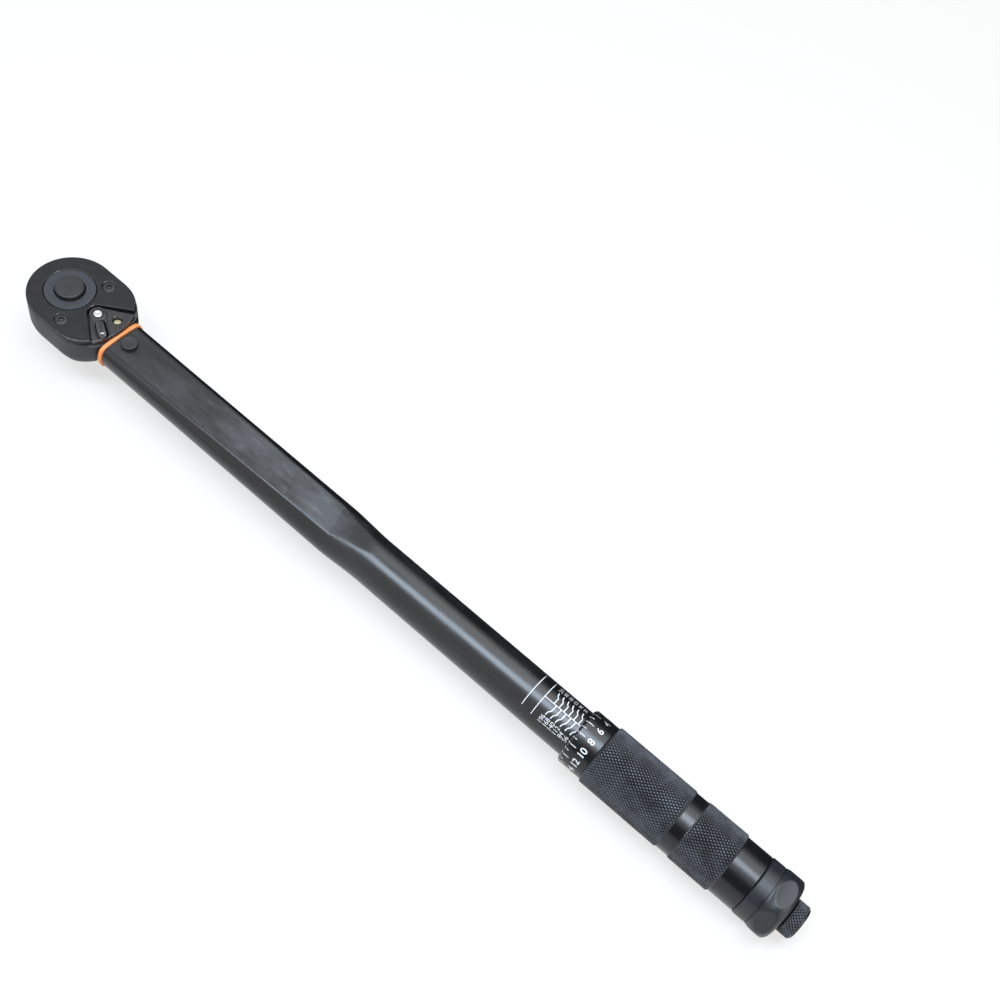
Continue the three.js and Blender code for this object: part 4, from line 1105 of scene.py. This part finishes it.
def makeThimbleScale():
    s, g = scaleSizes['thimble'], gripSizes
    front, drum = box('grip_sleeve')[0][0], gripSizes['thimble']

    def surface(place):
        return np.minimum(drum - g['bevel'] + (place - front), drum) \
            - 0.06 * np.exp(-((place - front - g['bevel']) / 0.3) ** 2)

    shells = []
    for i in range(s['divisions']):
        angle = s['angle'] + 360 / s['divisions'] * (i - s['top'])
        length = 'short' if i % 2 else 'long'
        arc = math.radians(angle) * drum
        shells.append(strip([(arc, front + 0.25), (arc, front + s[length])], s[length + 'Wide'],
                            drum, surface))
        if i % 2 == 0:
            shells.append(number(i, s['number'], angle, front + s['numberAt'], drum, surface))
    return finishPiece(makeObject('thimble_scale', together(*shells)), 'grip', whiteInk, crease=30)


makeTubeScale()
makeThimbleScale()
print('scale made')


inner = {
    'springSteel': [
        'main_spring', 'release_spring', 'detent_spring', 'pawl', 'toggle_link', 'piston',
        'spring_seat', 'nut_pin_left', 'nut_pin_right', 'adjusting_screw', 'grip_plug',
        'grip_pin_upper', 'grip_pin_lower', 'lock_wedge', 'lock_rod'],
    'brightSteel': ['thrust_ball', 'lock_ball_upper', 'lock_ball_lower'],
    'turnedBrass': ['detent_plunger', 'adjusting_nut'],
}
for material, names in inner.items():
    for name in names:
        if not nodes[name].material_slots:
            nodes[name].data.materials.append(None)
        for entry in nodes[name].material_slots:
            entry.material = bpy.data.materials[material]


studio = {
    'floorTone': 0.86, 'floorWhite': 0.68, 'ambient': 0.22,
    'key': {'place': (0.06, -0.28, 1.25), 'aim': (0.06, -0.28, 0), 'size': (1.32, 0.38), 'turn': 42,
            'level': 12.5, 'colour': (0.72, 0.84, 1.0)},
    'fill': {'place': (0.2, 0.58, 1.35), 'aim': (0.2, 0, 0), 'size': (1.1, 0.9), 'turn': 0,
             'level': 2.0, 'colour': (0.97, 0.98, 1.0)},
    'edge': {'place': (1.7, 0.1, 0.9), 'aim': (0.2, 0, 0), 'size': (0.5, 0.5), 'turn': 0,
             'level': 8.0, 'colour': (1.0, 1.0, 1.0)},
    'camera': {'place': (0.34956, -0.23231, 0.54048), 'turn': (31.22489, -9.51416, 40.01023),
               'lens': 47.46, 'shift': (0.00275, -0.00427)},
}


# An open sheet over a grid of points, for the floor and the cards.
def makeSheet(name, grid, material):
    index = np.arange(grid[..., 0].size).reshape(grid.shape[:2])
    faces = np.stack([index[:-1, :-1], index[1:, :-1], index[1:, 1:], index[:-1, 1:]], -1)
    mesh = bpy.data.meshes.new(name)
    mesh.from_pydata(grid.reshape(-1, 3).tolist(), [], faces.reshape(-1, 4).tolist())
    mesh.materials.append(material)
    sheet = addObject(name, mesh)
    return sheet


# White to the camera, and wholly white far away. Its light on the tool is the plain tone's.
def makeFloorFinish():
    material = bpy.data.materials.new('floorWhite')
    material.use_nodes = True
    paint = Paint(material.node_tree)
    tone, plainWhite = studio['floorTone'], studio['floorWhite']
    mottle = paint.mix(paint.noise(60.0), grey(tone - 0.01, -0.08), grey(tone + 0.01, -0.08))
    plain = paint.node('ShaderNodeBsdfDiffuse', sockets={'Color': mottle})
    white = paint.node('ShaderNodeEmission', sockets={'Color': (1, 1, 1, 1), 'Strength': 1.0})
    x, y, _ = paint.parts()
    far = ((x * x + y * y) ** 0.5).between(700.0, 2200.0)
    share = paint.seen() * (plainWhite + far * (1 - plainWhite))
    blend = paint.node('ShaderNodeMixShader', sockets=[share, plain, white])
    paint.node('ShaderNodeOutputMaterial', sockets=[blend])
    return material


# The tool lies on the drive square's tip and the end cap, so the floor rises a little to the cap.
def makeFloor():
    capLow = box('end_cap')[0]
    frontX, rearX = driveSizes['square'] / 2 * mm, (capLow[0] + capSizes['flareAt']) * mm
    slope = (axisHeight + capLow[2]) * mm / (rearX - frontX)
    span = np.linspace(-1, 1, 9) ** 3 * 6
    x, y = np.meshgrid(span, span, indexing='ij')
    makeSheet('floor', np.stack([x, y, (x - frontX) * slope - 0.00005], -1), makeFloorFinish())


# Dark cards beside the tool that only reflections see. Their section is a line in (y, height).
def makeCard(name, line, span, tone, narrow=0):
    line, share = np.array(line) * mm, np.linspace(0, 1, 12)[:, None]
    x = np.linspace(*span, 12)[:, None] * mm
    line = line.mean(0) + (line - line.mean(0)) * (1 - narrow * share ** 3)[..., None]

    def cardNodes(paint):
        colour = paint.mix(paint.noise(3.0), grey(tone), grey(tone * 1.5))
        return colour, 0.9 + paint.noise(2.0) * 0.05, None, 0, {}

    grid = np.stack(np.broadcast_arrays(x, line[..., 0], line[..., 1] + x * 0.025), -1)
    card = makeSheet(name, grid, makeFinish(name, cardNodes))
    card.visible_camera = card.visible_diffuse = False
    card.visible_shadow = card.visible_transmission = False


def makeLight(name):
    values = studio[name]
    lamp = bpy.data.lights.new(name, 'AREA')
    lamp.shape = 'RECTANGLE'
    lamp.size, lamp.size_y = values['size']
    lamp.energy = values['level'] * math.pi * values['size'][0] * values['size'][1]
    lamp.color = values['colour']
    away = Vector(values['place']) - Vector(values['aim'])
    spin = Matrix.Rotation(math.radians(values['turn']), 4, 'Z')
    addObject(name, lamp).matrix_world = Matrix.Translation(values['place']) \
        @ away.to_track_quat('Z', 'Y').to_matrix().to_4x4() @ spin


def makeWorld():
    world = bpy.data.worlds.new('studio')
    bpy.context.scene.world = world
    world.use_nodes = True
    sky, ambient = Paint(world.node_tree), studio['ambient']
    strength = sky.seen() * (1.0 - ambient) + ambient
    background = sky.node('ShaderNodeBackground',
                          sockets={'Color': (1, 1, 1, 1), 'Strength': strength})
    sky.node('ShaderNodeOutputWorld', sockets=[background])


def makeCamera():
    values = studio['camera']
    camera = addObject('camera', bpy.data.cameras.new('camera'))
    camera.location = values['place']
    camera.rotation_euler = [math.radians(angle) for angle in values['turn']]
    camera.data.lens = values['lens']
    camera.data.sensor_width = 36
    camera.data.shift_x, camera.data.shift_y = values['shift']
    camera.data.clip_start = 0.01
    bpy.context.scene.camera = camera


makeFloor()
makeCard('caseSide', [(14, 1.5), (66, 1.5), (74, 5), (78, 78)], (-300, 750), 0.004)
makeCard('gripSide', [(-60, 35), (-90, 60), (-100, 180)], (300, 520), 0.01)
makeCard('headSide', [(-80, 0.5), (-250, 0.5)], (-330, 66), 0.004, 0.8)
for name in ('key', 'fill', 'edge'):
    makeLight(name)
makeWorld()
makeCamera()
bpy.context.scene.view_settings.view_transform = 'Standard'
print('studio ready')
